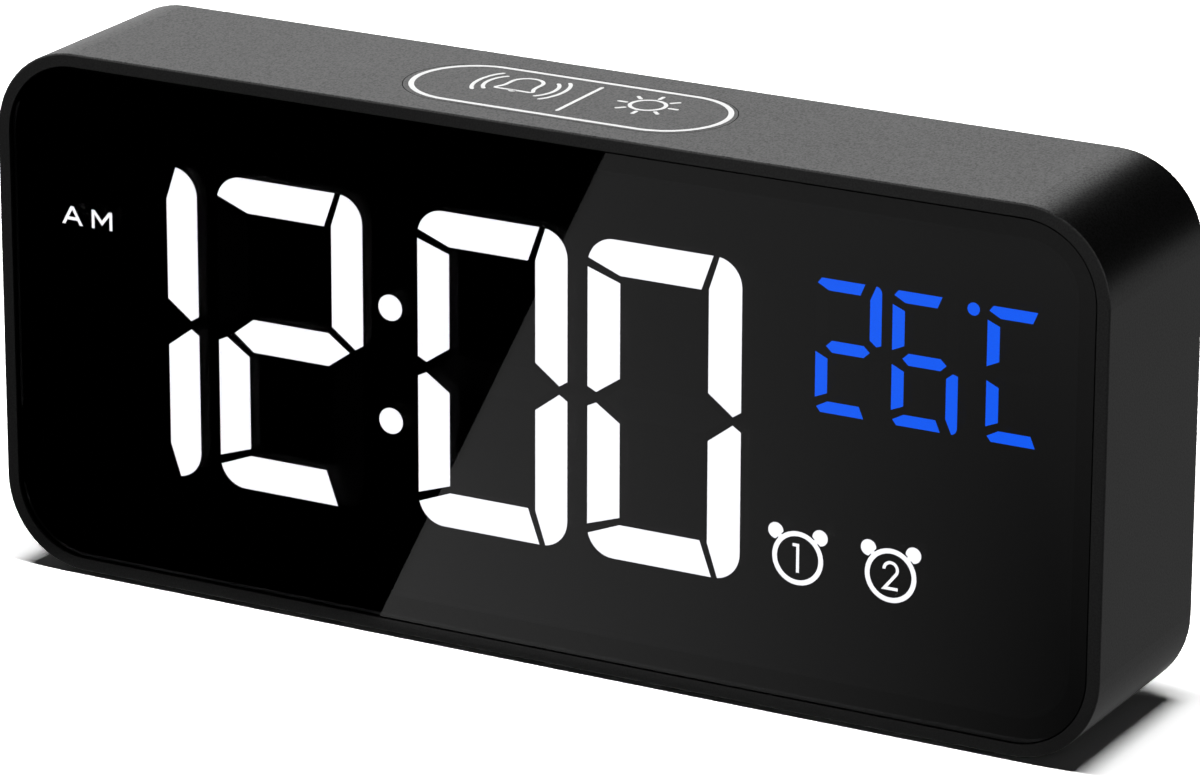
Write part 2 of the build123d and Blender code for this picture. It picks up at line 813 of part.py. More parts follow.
def leaded_chip(depth, place, size, count):
    """Chip lying on a board's rear face, with a row of bent leads along each long side."""
    length, width, height = size
    with BuildPart() as chip:
        with BuildSketch(face_plane(depth + lead_thickness / 2)):
            with Locations(place):
                Rectangle(length, width)
        extrude(amount=-(height - lead_thickness / 2))
        chamfer(chip.faces().sort_by(Axis.Y)[-1].edges(), 0.2)
        with BuildSketch(face_plane(depth)):
            with Locations(place):
                with GridLocations(lead_pitch, width + lead_reach, count, 2):
                    Rectangle(lead_width, lead_reach)
        extrude(amount=-lead_thickness)
        with BuildSketch(face_plane(depth + lead_thickness)):
            with Locations(place):
                with GridLocations(lead_pitch, width + lead_thickness, count, 2):
                    Rectangle(lead_width, 2 * lead_thickness)
        extrude(amount=-height / 2)
    return chip.part


driver_chip = leaded_chip(display_board_back, driver_place, driver_size, 8)
driver_chip.label = "driver_chip"
export_step(driver_chip, "parts/driver_chip.step")


def cross_screws(places, head_depth, length, outward, head_radius=screw_head_radius):
    """Pan-head screws along the clock's depth; outward is +1 where the head looks to the rear."""
    with BuildPart() as screws:
        with BuildSketch(face_plane(head_depth)):
            with Locations(*places):
                Circle(head_radius)
        extrude(amount=-outward * screw_head_height)
        heads = screws.faces().sort_by(Axis.Y)
        heads = heads[-len(places):] if outward > 0 else heads[:len(places)]
        fillet([edge for face in heads for edge in face.edges()], screw_head_edge)
        with BuildSketch(face_plane(head_depth)):
            with Locations(*places):
                Circle(screw_radius)
        extrude(amount=outward * length)
        with BuildSketch(face_plane(head_depth + outward * screw_head_height)):
            with Locations(*places):
                Rectangle(recess_length, recess_width)
                Rectangle(recess_width, recess_length)
        extrude(amount=outward * recess_depth, mode=Mode.SUBTRACT)
    return screws.part


display_screw_length = board_thickness + display_board_front - ledge_back - 1.0
display_screws = cross_screws(
    display_boss_places, display_board_back, display_screw_length, 1, small_head_radius
)
display_screws.label = "display_screws"
export_step(display_screws, "parts/display_screws.step")

# Main board: carries the switches, the sockets and the sounder, facing the rear
with BuildPart() as main_board:
    with BuildSketch(face_plane(main_board_depth)):
        with Locations((0, main_board_level)):
            RectangleRounded(main_board_width, main_board_height, 2)
        with Locations(*post_places):
            Circle(screw_radius + hole_clearance, mode=Mode.SUBTRACT)
    extrude(amount=-board_thickness)
main_board.part.label = "main_board"
export_step(main_board.part, "parts/main_board.step")

controller_chip = leaded_chip(main_board_back, controller_place, controller_size, 14)
controller_chip.label = "controller_chip"
export_step(controller_chip, "parts/controller_chip.step")

board_screws = cross_screws(post_places, main_board_depth, board_thickness + post_screw_bite, -1)
board_screws.label = "board_screws"
export_step(board_screws, "parts/board_screws.step")

with BuildPart() as board_connector:
    with BuildSketch(face_plane(display_board_back)):
        with Locations(connector_place):
            RectangleRounded(*connector_size, 0.4)
    extrude(amount=-(main_board_depth - display_board_back))
board_connector.part.label = "board_connector"
export_step(board_connector.part, "parts/board_connector.step")

with BuildPart() as clock_crystal:
    with BuildSketch(face_plane(main_board_back)):
        with Locations(crystal_place):
            SlotOverall(*crystal_size)
    extrude(amount=-crystal_height)
    fillet(clock_crystal.faces().sort_by(Axis.Y)[-1].edges(), 0.5)
clock_crystal.part.label = "clock_crystal"
export_step(clock_crystal.part, "parts/clock_crystal.step")

with BuildPart() as supply_capacitor:
    with BuildSketch(face_plane(main_board_back)):
        with Locations(capacitor_place):
            Circle(capacitor_radius)
    extrude(amount=-capacitor_height)
    fillet(supply_capacitor.faces().sort_by(Axis.Y)[-1].edges(), 0.6)
supply_capacitor.part.label = "supply_capacitor"
export_step(supply_capacitor.part, "parts/supply_capacitor.step")

with BuildPart() as buzzer:
    with BuildSketch(face_plane(main_board_back)):
        with Locations((sound_x, sound_level)):
            Circle(buzzer_radius)
    extrude(amount=-buzzer_height)
    fillet(buzzer.faces().sort_by(Axis.Y)[-1].edges(), 0.8)
    with BuildSketch(face_plane(main_board_back + buzzer_height)):
        with Locations((sound_x, sound_level)):
            Circle(buzzer_hole_radius)
    extrude(amount=buzzer_height / 3, mode=Mode.SUBTRACT)
buzzer.part.label = "buzzer"
export_step(buzzer.part, "parts/buzzer.step")

with BuildPart() as thermistor:
    with BuildSketch(face_plane(main_board_back)):
        with Locations(thermistor_place):
            with GridLocations(thermistor_pitch, 1, 2, 1):
                Circle(lead_radius)
    extrude(amount=-thermistor_standoff - 1)
    with BuildSketch(face_plane(main_board_back + thermistor_standoff)):
        with Locations(thermistor_place):
            SlotOverall(*thermistor_size)
    extrude(amount=-thermistor_size[0])
    fillet(thermistor.faces().sort_by(Axis.Y)[-1].edges(), 0.7)
thermistor.part.label = "thermistor"
export_step(thermistor.part, "parts/thermistor.step")

# Push switches on the main board, one below each setting key
with BuildPart() as rear_switches:
    with BuildSketch(face_plane(main_board_back)):
        with Locations(*rear_key_places):
            RectangleRounded(switch_size, switch_size, 0.4)
    extrude(amount=-switch_body)
    with BuildSketch(face_plane(main_board_back + switch_body)):
        with Locations(*rear_key_places):
            Circle(plunger_radius + plunger_clearance)
    extrude(amount=plunger_seat + plunger_room, mode=Mode.SUBTRACT)
rear_switches.part.label = "rear_switches"
export_step(rear_switches.part, "parts/rear_switches.step")

# Setting keys: a cap in the cover, a flange that holds it in, and a stem to the switch's plunger
for name, place in zip(rear_key_names, rear_key_places):
    with BuildPart() as rear_key:
        with BuildSketch(face_plane(cover_outer + rear_key_proud)):
            with Locations(place):
                SlotOverall(rear_key_length, rear_key_height)
        extrude(amount=rear_key_proud + cover_thickness + 0.05)
        fillet(rear_key.faces().sort_by(Axis.Y)[-1].edges(), rear_key_edge)
        with BuildSketch(face_plane(cover_inner - 0.05)):
            with Locations(place):
                SlotOverall(rear_key_length + 2 * rear_key_flange, rear_key_height + 2 * rear_key_flange)
        extrude(amount=rear_key_flange_thickness)
        with BuildSketch(face_plane(cover_inner - rear_key_flange_thickness)):
            with Locations(place):
                Circle(stem_radius)
        extrude(amount=cover_inner - rear_key_flange_thickness - main_board_back - switch_height)
    rear_key.part.label = name
    export_step(rear_key.part, f"parts/{name}.step")
    with BuildPart() as plunger:
        with BuildSketch(face_plane(main_board_back + switch_height)):
            with Locations(place):
                Circle(plunger_radius)
        extrude(amount=switch_height - switch_body + plunger_seat)
    plunger.part.label = name.replace("key", "plunger")
    export_step(plunger.part, f"parts/{plunger.part.label}.step")

# Rear cover: a plate in the case's rabbet, with posts for the main board
with BuildPart() as rear_cover:
    with BuildSketch(face_plane(cover_outer)):
        offset(
            RectangleRounded(
                case_width - 2 * rabbet_wall, case_height - 2 * rabbet_wall, case_corner - rabbet_wall,
                mode=Mode.PRIVATE,
            ),
            amount=-cover_gap,
        )
    extrude(amount=cover_thickness)
    with BuildSketch(face_plane(main_board_back)):
        with Locations(*post_places):
            Circle(post_radius)
    extrude(amount=-(cover_inner - main_board_back))
    with BuildSketch(face_plane(main_board_back)):
        with Locations(*post_places):
            Circle(screw_radius + screw_clearance)
    extrude(amount=-post_hole_depth, mode=Mode.SUBTRACT)
    with BuildSketch(face_plane(cover_outer)):
        with Locations(*boss_places):
            Circle(screw_head_radius + counterbore_clearance)
    extrude(amount=screw_head_height, mode=Mode.SUBTRACT)
    with BuildSketch(face_plane(cover_outer)):
        with Locations(*boss_places):
            Circle(screw_radius + hole_clearance)
        with Locations(*rear_key_places):
            SlotOverall(rear_key_length + 2 * rear_key_clearance, rear_key_height + 2 * rear_key_clearance)
        with Locations((inlet_x, socket_level)):
            Circle(inlet_neck_radius + socket_clearance)
        with Locations(*outlet_places):
            Rectangle(outlet_width + 2 * socket_clearance, outlet_height + 2 * socket_clearance)
        with Locations((sound_x, sound_level)):
            Circle(sound_hole_radius)
            for ring in (1, 2):
                with PolarLocations(ring * sound_pitch, 6 * ring):
                    Circle(sound_hole_radius)
        with Locations((bay_x, bay_level)):
            Circle(door_radius + door_clearance)
            notch_width = door_lug_width + 4 * door_clearance
            Rectangle(2 * (door_lug_radius + door_clearance), notch_width, rotation=-door_lug_turn)
    extrude(amount=cover_thickness, mode=Mode.SUBTRACT)
    # Pegs that hold the cell's cup
    with BuildSketch(face_plane(cover_inner)):
        with Locations(*ear_places):
            Circle(peg_radius)
    extrude(amount=peg_length)
rear_cover.part.label = "rear_cover"
export_step(rear_cover.part, "parts/rear_cover.step")

cover_screws = cross_screws(boss_places, cover_outer - screw_head_height, screw_length - 1.0, 1)
cover_screws.label = "cover_screws"
export_step(cover_screws, "parts/cover_screws.step")

# Cup of the coin cell: a turned form with a groove for the door's lugs and two ears
cup_groove = door_lug_radius + door_clearance
cup_groove_depth = door_lug_thickness + 0.2
with BuildPart() as battery_cup:
    with BuildSketch(face_plane(cover_inner)):
        with Locations((bay_x, bay_level)):
            Circle(cup_groove + cup_flange)
    extrude(amount=cup_groove_depth + bay_floor)
    with BuildSketch(face_plane(cover_inner)):
        with Locations(*ear_places):
            Circle(ear_radius)
    extrude(amount=ear_thickness)
    with BuildSketch(face_plane(cover_inner)):
        with Locations((bay_x, bay_level)):
            Circle(bay_radius + bay_wall)
    extrude(amount=bay_depth + bay_floor)
    with BuildSketch(face_plane(cover_inner)):
        with Locations((bay_x, bay_level)):
            Circle(cup_groove)
    extrude(amount=cup_groove_depth, mode=Mode.SUBTRACT)
    with BuildSketch(face_plane(cover_inner)):
        with Locations((bay_x, bay_level)):
            Circle(bay_radius)
    extrude(amount=bay_depth, mode=Mode.SUBTRACT)
    with BuildSketch(face_plane(cover_inner)):
        with Locations(*ear_places):
            Circle(peg_radius + peg_clearance)
    extrude(amount=peg_length, mode=Mode.SUBTRACT)
battery_cup.part.label = "battery_cup"
export_step(battery_cup.part, "parts/battery_cup.step")

# Contacts of the cell: a sprung strip on the floor and a clip on the wall
with BuildPart() as battery_contact_minus:
    with BuildSketch(face_plane(cover_inner - bay_depth)):
        with Locations((bay_x, bay_level)):
            SlotOverall(contact_length, contact_width)
    extrude(amount=-contact_thickness)
    with BuildSketch(face_plane(cover_inner - bay_depth)):
        with Locations((bay_x, bay_level)):
            Circle(contact_nub_radius)
    extrude(amount=-contact_rise)
battery_contact_minus.part.label = "battery_contact_minus"
export_step(battery_contact_minus.part, "parts/battery_contact_minus.step")

with BuildPart() as battery_contact_plus:
    clip_outer = bay_radius - 0.02
    with BuildSketch(face_plane(cover_inner - clip_top)):
        with BuildLine():
            clip = CenterArc((bay_x, bay_level), clip_outer, 60, 60)
            inside = CenterArc((bay_x, bay_level), clip_outer - contact_thickness, 60, 60)
            Line(clip @ 0, inside @ 0)
            Line(clip @ 1, inside @ 1)
        make_face()
    extrude(amount=bay_depth - clip_top)
battery_contact_plus.part.label = "battery_contact_plus"
export_step(battery_contact_plus.part, "parts/battery_contact_plus.step")

# Door of the cell: a disc turned with a coin, held by two lugs behind the cover
with BuildPart() as battery_door:
    with BuildSketch(face_plane(cover_outer)):
        with Locations((bay_x, bay_level)):
            Circle(door_radius)
    extrude(amount=cover_thickness + door_lug_gap)
    chamfer(battery_door.faces().sort_by(Axis.Y)[-1].edges(), 0.2)
    with BuildSketch(face_plane(cover_inner - door_lug_gap)):
        with Locations((bay_x, bay_level)):
            Circle(door_lug_radius)
            Rectangle(2 * door_lug_radius, door_lug_width, mode=Mode.INTERSECT)
    extrude(amount=door_lug_thickness)
    with BuildSketch(face_plane(cover_inner - door_lug_gap)):
        with Locations((bay_x, bay_level)):
            Circle(door_radius - door_rim)
    extrude(amount=door_lug_thickness, mode=Mode.SUBTRACT)
    with BuildSketch(face_plane(cover_outer)):
        with Locations((bay_x, bay_level)):
            SlotOverall(coin_slot_length, coin_slot_width)
    extrude(amount=coin_slot_depth, mode=Mode.SUBTRACT)
battery_door.part.label = "battery_door"
export_step(battery_door.part, "parts/battery_door.step")

# Mains inlet: a body on the board, a neck through the cover, and a pin in its bore
with BuildPart() as dc_inlet:
    with BuildSketch(face_plane(main_board_back)):
        with Locations((inlet_x, socket_level)):
            RectangleRounded(inlet_body, inlet_body, 0.5)
    extrude(amount=-(cover_inner - 0.1 - main_board_back))
    with BuildSketch(face_plane(cover_outer)):
        with Locations((inlet_x, socket_level)):
            Circle(inlet_neck_radius)
    extrude(amount=cover_thickness + 0.2)
    with BuildSketch(face_plane(cover_outer)):
        with Locations((inlet_x, socket_level)):
            Circle(inlet_bore_radius)
    extrude(amount=inlet_bore_depth, mode=Mode.SUBTRACT)
dc_inlet.part.label = "dc_inlet"
export_step(dc_inlet.part, "parts/dc_inlet.step")

with BuildPart() as dc_inlet_pin:
    with BuildSketch(face_plane(cover_outer - inlet_bore_depth)):
        with Locations((inlet_x, socket_level)):
            Circle(inlet_pin_radius)
    extrude(amount=-(inlet_bore_depth - inlet_pin_recess))
    fillet(dc_inlet_pin.faces().sort_by(Axis.Y)[-1].edges(), 0.5)
dc_inlet_pin.part.label = "dc_inlet_pin"
export_step(dc_inlet_pin.part, "parts/dc_inlet_pin.step")

# Charging outlets: two folded shells, each with its tongue
with BuildPart() as usb_outlets:
    with BuildSketch(face_plane(cover_outer)):
        with Locations(*outlet_places):
            RectangleRounded(outlet_width, outlet_height, 0.5)
            RectangleRounded(
                outlet_width - 2 * outlet_wall, outlet_height - 2 * outlet_wall, 0.2, mode=Mode.SUBTRACT
            )
    extrude(amount=cover_outer - main_board_back)
usb_outlets.part.label = "usb_outlets"
export_step(usb_outlets.part, "parts/usb_outlets.step")

with BuildPart() as usb_tongues:
    with BuildSketch(face_plane(main_board_back)):
        with Locations(*outlet_places):
            RectangleRounded(outlet_width - 2 * outlet_wall, outlet_height - 2 * outlet_wall, 0.2)
    extrude(amount=-tongue_root)
    with BuildSketch(face_plane(main_board_back + tongue_root)):
        with Locations(*[(x, socket_level + tongue_rise) for x in outlet_x]):
            Rectangle(tongue_width, tongue_thickness)
    extrude(amount=-(cover_outer - main_board_back - tongue_root - tongue_recess))
usb_tongues.part.label = "usb_tongues"
export_step(usb_tongues.part, "parts/usb_tongues.step")

# Board below the key in the top, with its two switches
with BuildPart() as key_board:
    with BuildSketch(level_plane(key_board_top)):
        with Locations((key_x, key_board_front + key_board_width / 2)):
            RectangleRounded(key_board_length, key_board_width, 1)
        with Locations(*key_post_places):
            Circle(screw_radius + hole_clearance, mode=Mode.SUBTRACT)
    extrude(amount=-key_board_thickness)
key_board.part.label = "key_board"
export_step(key_board.part, "parts/key_board.step")

with BuildPart() as key_board_screws:
    with BuildSketch(level_plane(key_board_top - key_board_thickness)):
        with Locations(*key_post_places):
            Circle(screw_head_radius)
    extrude(amount=-screw_head_height)
    with BuildSketch(level_plane(key_board_top - key_board_thickness)):
        with Locations(*key_post_places):
            Circle(screw_radius)
    extrude(amount=key_board_thickness + key_underside - key_board_top - 1.0)
    with BuildSketch(level_plane(key_board_top - key_board_thickness - screw_head_height)):
        with Locations(*key_post_places):
            Rectangle(recess_length, recess_width)
            Rectangle(recess_width, recess_length)
    extrude(amount=recess_depth, mode=Mode.SUBTRACT)
key_board_screws.part.label = "key_board_screws"
export_step(key_board_screws.part, "parts/key_board_screws.step")

with BuildPart() as top_switches:
    with BuildSketch(level_plane(key_board_top)):
        with Locations(*switch_places):
            RectangleRounded(switch_size, switch_size, 0.4)
    extrude(amount=switch_body)
    with BuildSketch(level_plane(key_board_top + switch_body)):
        with Locations(*switch_places):
            Circle(plunger_radius + plunger_clearance)
    extrude(amount=-(plunger_seat + plunger_room), mode=Mode.SUBTRACT)
top_switches.part.label = "top_switches"
export_step(top_switches.part, "parts/top_switches.step")

for name, place in zip(("snooze_plunger", "light_plunger"), switch_places):
    with BuildPart() as plunger:
        with BuildSketch(level_plane(key_board_top + switch_height)):
            with Locations(place):
                Circle(plunger_radius)
        extrude(amount=-(switch_height - switch_body + plunger_seat))
    plunger.part.label = name
    export_step(plunger.part, f"parts/{name}.step")

# Key in the top: a plate flush with the case, a skirt that stiffens it, two lugs with the pivot
# pins, and a presser over each switch
with BuildPart() as top_key:
    with BuildSketch(level_plane(key_underside)):
        with Locations((key_x, key_depth)):
            SlotOverall(key_length, key_width)
    extrude(amount=wall)
    with BuildSketch(level_plane(key_underside)):
        with Locations((key_x, key_depth)):
            SlotOverall(key_length - 2 * skirt_inset, key_width - 2 * skirt_inset)
            SlotOverall(
                key_length - 2 * (skirt_inset + skirt_thickness),
                key_width - 2 * (skirt_inset + skirt_thickness),
                mode=Mode.SUBTRACT,
            )
    extrude(amount=-skirt_drop)
    with BuildSketch(face_plane(front_lug_depth)):
        with Locations((key_x, (key_underside + lug_bottom) / 2)):
            Rectangle(lug_width, key_underside - lug_bottom)
    extrude(amount=-lug_thickness)
    with BuildSketch(face_plane(front_lug_depth)):
        with Locations((key_x, pivot_level)):
            Circle(pivot_radius)
    extrude(amount=pin_length)
    with BuildSketch(face_plane(rear_lug_depth)):
        with Locations((key_x, (key_underside + lug_bottom) / 2)):
            Rectangle(lug_width, key_underside - lug_bottom)
    extrude(amount=lug_thickness)
    with BuildSketch(face_plane(rear_lug_depth)):
        with Locations((key_x, pivot_level)):
            Circle(pivot_radius)
    extrude(amount=-pin_length)
    with BuildSketch(level_plane(key_underside)):
        with Locations(*switch_places):
            Circle(presser_radius)
    extrude(amount=-(key_underside - switch_top_level - presser_gap))
top_key.part.label = "top_key"
export_step(top_key.part, "parts/top_key.step")
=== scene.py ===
"""Looks of a free-standing LED alarm clock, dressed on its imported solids.

Metres in the scene, millimetres in the fields of the classes. X runs along the clock, Z up, and
the display faces -Y.
"""
import json
import logging
import math
from dataclasses import dataclass, field
from enum import Enum
from typing import Any, Iterable, Sequence

import bpy
import numpy as np
from mathutils import Matrix, Vector


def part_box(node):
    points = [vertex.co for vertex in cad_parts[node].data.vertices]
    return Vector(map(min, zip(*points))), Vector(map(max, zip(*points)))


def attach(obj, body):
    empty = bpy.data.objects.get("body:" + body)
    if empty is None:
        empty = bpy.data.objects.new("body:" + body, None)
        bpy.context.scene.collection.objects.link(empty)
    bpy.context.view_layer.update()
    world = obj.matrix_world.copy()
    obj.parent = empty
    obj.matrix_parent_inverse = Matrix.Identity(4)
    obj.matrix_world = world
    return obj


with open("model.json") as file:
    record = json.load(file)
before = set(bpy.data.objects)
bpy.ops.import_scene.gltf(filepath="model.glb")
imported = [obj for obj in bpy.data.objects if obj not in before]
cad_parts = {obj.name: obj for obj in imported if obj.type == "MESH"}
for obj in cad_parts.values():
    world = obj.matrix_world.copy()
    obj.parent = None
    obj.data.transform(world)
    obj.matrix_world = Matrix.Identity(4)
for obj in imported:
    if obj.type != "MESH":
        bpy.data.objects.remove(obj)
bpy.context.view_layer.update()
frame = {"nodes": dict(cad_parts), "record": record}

LOG = logging.getLogger("alarm_clock")
MM = 0.001

# Blender's noise seldom leaves these ranges, so they stand for the whole swing of the clouds and
# of the grain.
CLOUD_RANGE = (0.3, 0.7)
GRAIN_RANGE = (0.35, 0.65)
# Specular IOR Level at which the index of refraction alone says how much a surface mirrors.
PLAIN_LEVEL = 0.5
# Sockets of a Mix node that mixes colours: its factor, its two colours and its result.
MIX_SHARE, MIX_FIRST, MIX_SECOND, MIX_RESULT = 0, 6, 7, 2
# Where the round end of an open line stops, as a share of its half width, so its tip isn't a point.
TIP_REACH = 0.02
# Spacing of the samples along a line in millimetres, and their numbers on a rounded corner and on
# a whole circle.
LINE_STEP = 0.12
CORNER_POINTS = 13
RING_POINTS = 48

Tree = bpy.types.NodeTree
Socket = bpy.types.NodeSocket
Colour = tuple[float, float, float, float]
Feed = Socket | float | Colour
Levels = tuple[float, float, float, float]
Pair = tuple[float, float]
Triple = tuple[float, float, float]


def linear(code: str) -> Colour:
    """Turns an sRGB hex colour into linear light.

    Args:
        code: Six hex digits, such as "1a1a1c".

    Returns:
        Red, green, blue and a fourth channel of 1: each channel below 0.04045 is divided by 12.92,
        and each other one is (c + 0.055) / 1.055 to the power of 2.4.
    """
    channels = [int(code[k:k + 2], 16) / 255 for k in (0, 2, 4)]
    red, green, blue = (
        c / 12.92 if c <= 0.04045 else ((c + 0.055) / 1.055) ** 2.4 for c in channels)
    return (red, green, blue, 1.0)


def add_node(tree: Tree, kind: str, settings: dict[str, Any] | None = None,
             sockets: dict[str | int, Feed | Triple] | None = None) -> bpy.types.Node:
    """Adds one node to a tree, with its settings and what feeds its sockets.

    Args:
        tree: The material's or the world's node tree.
        kind: Blender's type name of the node.
        settings: Attribute values, by attribute name.
        sockets: Values or output sockets, by the input's name or number.

    Returns:
        The new node.
    """
    node = tree.nodes.new(kind)
    for name, value in (settings or {}).items():
        setattr(node, name, value)
    for key, value in (sockets or {}).items():
        if isinstance(value, Socket):
            tree.links.new(value, node.inputs[key])
        else:
            node.inputs[key].default_value = value
    return node


def empty_tree(owner: bpy.types.Material | bpy.types.World) -> Tree:
    """Turns on the nodes of a new material or world and clears them.

    Args:
        owner: The new material or world.

    Returns:
        Its empty node tree.
    """
    owner.use_nodes = True
    owner.node_tree.nodes.clear()
    return owner.node_tree


class Body(Enum):
    """The moving bodies of the clock that new pieces ride on."""

    TOP_KEY = "top_key"
    TIME = "time_key"
    ALARM_ONE = "alarm_one_key"
    ALARM_TWO = "alarm_two_key"
    UP = "up_key"
    DOWN = "down_key"


@dataclass(frozen=True)
class Finish:
    """A surface finish: a base colour with cloudy variation, a grain that is bumped, and gloss.

    Attributes:
        name: What the material is and how its surface was made.
        colour: sRGB hex of the darker tone.
        tone: sRGB hex of the lighter tone that the clouds mix in.
        roughness: Middle roughness of the surface.
        ior: Index of refraction of plastics and lacquers.
        metallic: 1 for a metal.
        cloud_mm: Size of the clouds of colour and gloss.
        grain_mm: Size of the grain.
        grain_height_mm: Height of the grain.
        gloss_spread: How far the clouds move the roughness.
        pit_share: Share of the mirrored light that the grain's pits swallow and its crests add, on
            faces that look up.
        side_share: How much of the pit share is left on upright faces.
        stretch: How many times longer the grain is along Y than across.
    """

    name: str
    colour: str
    tone: str
    roughness: float
    ior: float = 1.5
    metallic: float = 0.0
    cloud_mm: float = 9.0
    grain_mm: float = 0.35
    grain_height_mm: float = 0.003
    gloss_spread: float = 0.04
    pit_share: float = 0.0
    side_share: float = 1.0
    stretch: float = 1.0

    def build(self) -> bpy.types.Material:
        """Builds the material.

        Returns:
            The material, with its surface linked to its output.
        """
        material = bpy.data.materials.new(self.name)
        tree = empty_tree(material)
        metres = add_node(tree, "ShaderNodeTexCoord").outputs["Object"]
        place = add_node(tree, "ShaderNodeMapping", sockets={
            "Vector": metres, "Scale": (1 / MM, 1 / MM, 1 / MM)}).outputs["Vector"]
        surface = add_node(tree, "ShaderNodeBsdfPrincipled", sockets=self.feeds(tree, place))
        add_node(tree, "ShaderNodeOutputMaterial", sockets={"Surface": surface.outputs[0]})
        return material

    def feeds(self, tree: Tree, place: Socket) -> dict[str, Feed]:
        """Values and output sockets that feed the surface's shader, by its input's name."""
        return {
            "Base Color": self.tint(tree, place), "Roughness": self.gloss(tree, place),
            "Metallic": self.metallic, "IOR": self.ior,
            "Specular IOR Level": self.pits(tree, place), "Normal": self.bump(tree, place),
        }

    def clouds(self, tree: Tree, place: Socket) -> Socket:
        """Slow noise between 0 and 1 that varies colour and gloss."""
        return add_node(tree, "ShaderNodeTexNoise", sockets={
            "Vector": place, "Scale": 1 / self.cloud_mm, "Detail": 3.0}).outputs[0]

    def grain(self, tree: Tree, place: Socket) -> Socket:
        """Height of the grain between 0 and 1: fine noise, drawn out along Y by the stretch."""
        drawn = add_node(tree, "ShaderNodeMapping", sockets={
            "Vector": place, "Scale": (1.0, 1 / self.stretch, 1.0)}).outputs["Vector"]
        return add_node(tree, "ShaderNodeTexNoise", sockets={
            "Vector": drawn, "Scale": 1 / self.grain_mm, "Detail": 2.0,
            "Roughness": 0.6}).outputs[0]

    def bump(self, tree: Tree, place: Socket) -> Socket:
        """Normal of the grain."""
        return add_node(tree, "ShaderNodeBump", sockets={
            "Height": self.grain(tree, place),
            "Distance": self.grain_height_mm * MM}).outputs["Normal"]

    def pits(self, tree: Tree, place: Socket) -> Feed:
        """How much the surface mirrors: less in the grain's pits and more on its crests.

        Args:
            tree: The material's node tree.
            place: Object coordinates in millimetres.

        Returns:
            The plain level or, where the finish has pits, a level that the grain swings round it:
            by the pit share of it on faces that look up, and by less on upright ones.
        """
        if not self.pit_share:
            return PLAIN_LEVEL
        normal = add_node(tree, "ShaderNodeTexCoord").outputs["Normal"]
        rise = add_node(tree, "ShaderNodeSeparateXYZ", sockets={0: normal}).outputs["Z"]
        swing = add_node(tree, "ShaderNodeMapRange", sockets={
            "Value": rise, "To Min": PLAIN_LEVEL * self.pit_share * self.side_share,
            "To Max": PLAIN_LEVEL * self.pit_share}).outputs[0]
        low, high = (add_node(tree, "ShaderNodeMath", {"operation": way}, {
            0: PLAIN_LEVEL, 1: swing}).outputs[0] for way in ("SUBTRACT", "ADD"))
        return add_node(tree, "ShaderNodeMapRange", sockets={
            "Value": self.grain(tree, place), "From Min": GRAIN_RANGE[0],
            "From Max": GRAIN_RANGE[1], "To Min": low, "To Max": high}).outputs[0]

    def lighter(self, tree: Tree, place: Socket) -> Socket:
        """Share of the lighter tone between 0 and 1: the clouds."""
        return self.clouds(tree, place)

    def tint(self, tree: Tree, place: Socket) -> Feed:
        """Colour of the surface: its two tones mixed, or one plain colour where they are alike."""
        if self.tone == self.colour:
            return linear(self.colour)
        return add_node(tree, "ShaderNodeMix", {"data_type": "RGBA"}, {
            MIX_SHARE: self.lighter(tree, place), MIX_FIRST: linear(self.colour),
            MIX_SECOND: linear(self.tone)}).outputs[MIX_RESULT]

    def gloss(self, tree: Tree, place: Socket) -> Socket:
        """Roughness of the surface, moved a little by the clouds."""
        return add_node(tree, "ShaderNodeMapRange", sockets={
            "Value": self.clouds(tree, place), "From Min": CLOUD_RANGE[0],
            "From Max": CLOUD_RANGE[1], "To Min": self.roughness - self.gloss_spread,
            "To Max": self.roughness + self.gloss_spread}).outputs[0]


@dataclass(frozen=True)
class SmokedAcrylic(Finish):
    """Cast acrylic with a smoke dye, polished: its colour is the share of light that it passes."""

    def feeds(self, tree: Tree, place: Socket) -> dict[str, Feed]:
        """Lets the light of the bars through, under a faint waviness in the polish."""
        return super().feeds(tree, place) | {"Transmission Weight": 1.0}


@dataclass(frozen=True)
class LitBar(Finish):
    """Milky light bar with its lamp on: even light with a slightly fuller middle of each cloud.

    Attributes:
        light: sRGB hex of the light.
        strength: Strength of the light before the smoked sheet takes its share.
        unevenness: Share of the light that the clouds take away.
    """

    light: str = "ffffff"
    strength: float = 9.0
    unevenness: float = 0.03

    def feeds(self, tree: Tree, place: Socket) -> dict[str, Feed]:
        """Adds the light to the diffusing plastic, a little uneven with the clouds."""
        power = add_node(tree, "ShaderNodeMapRange", sockets={
            "Value": self.clouds(tree, place), "To Min": self.strength * (1 - self.unevenness),
            "To Max": self.strength * (1 + self.unevenness)}).outputs[0]
        return super().feeds(tree, place) | {
            "Emission Color": linear(self.light), "Emission Strength": power}


@dataclass(frozen=True)
class Laminate(Finish):
    """Glass laminate under solder lacquer, with copper tracks that show as a paler green.

    Attributes:
        track_mm: Pitch of the tracks.
        track_edge: Distances from a cell's middle, in pitches, between which its copper fades in.
    """

    track_mm: float = 2.2
    track_edge: Pair = (0.32, 0.36)

    def lighter(self, tree: Tree, place: Socket) -> Socket:
        """Share of the paler green: cells with straight sides stand for the copper areas."""
        cells = add_node(tree, "ShaderNodeTexVoronoi", {"distance": "CHEBYCHEV"}, {
            "Vector": place, "Scale": 1 / self.track_mm}).outputs["Distance"]
        return add_node(tree, "ShaderNodeMapRange", sockets={
            "Value": cells, "From Min": self.track_edge[0],
            "From Max": self.track_edge[1]}).outputs[0]


@dataclass(frozen=True)
class BrushedMetal(Finish):
    """Drawn or turned metal: its grain is a run of fine lines along Y."""

    metallic: float = 1.0
    stretch: float = 12.0


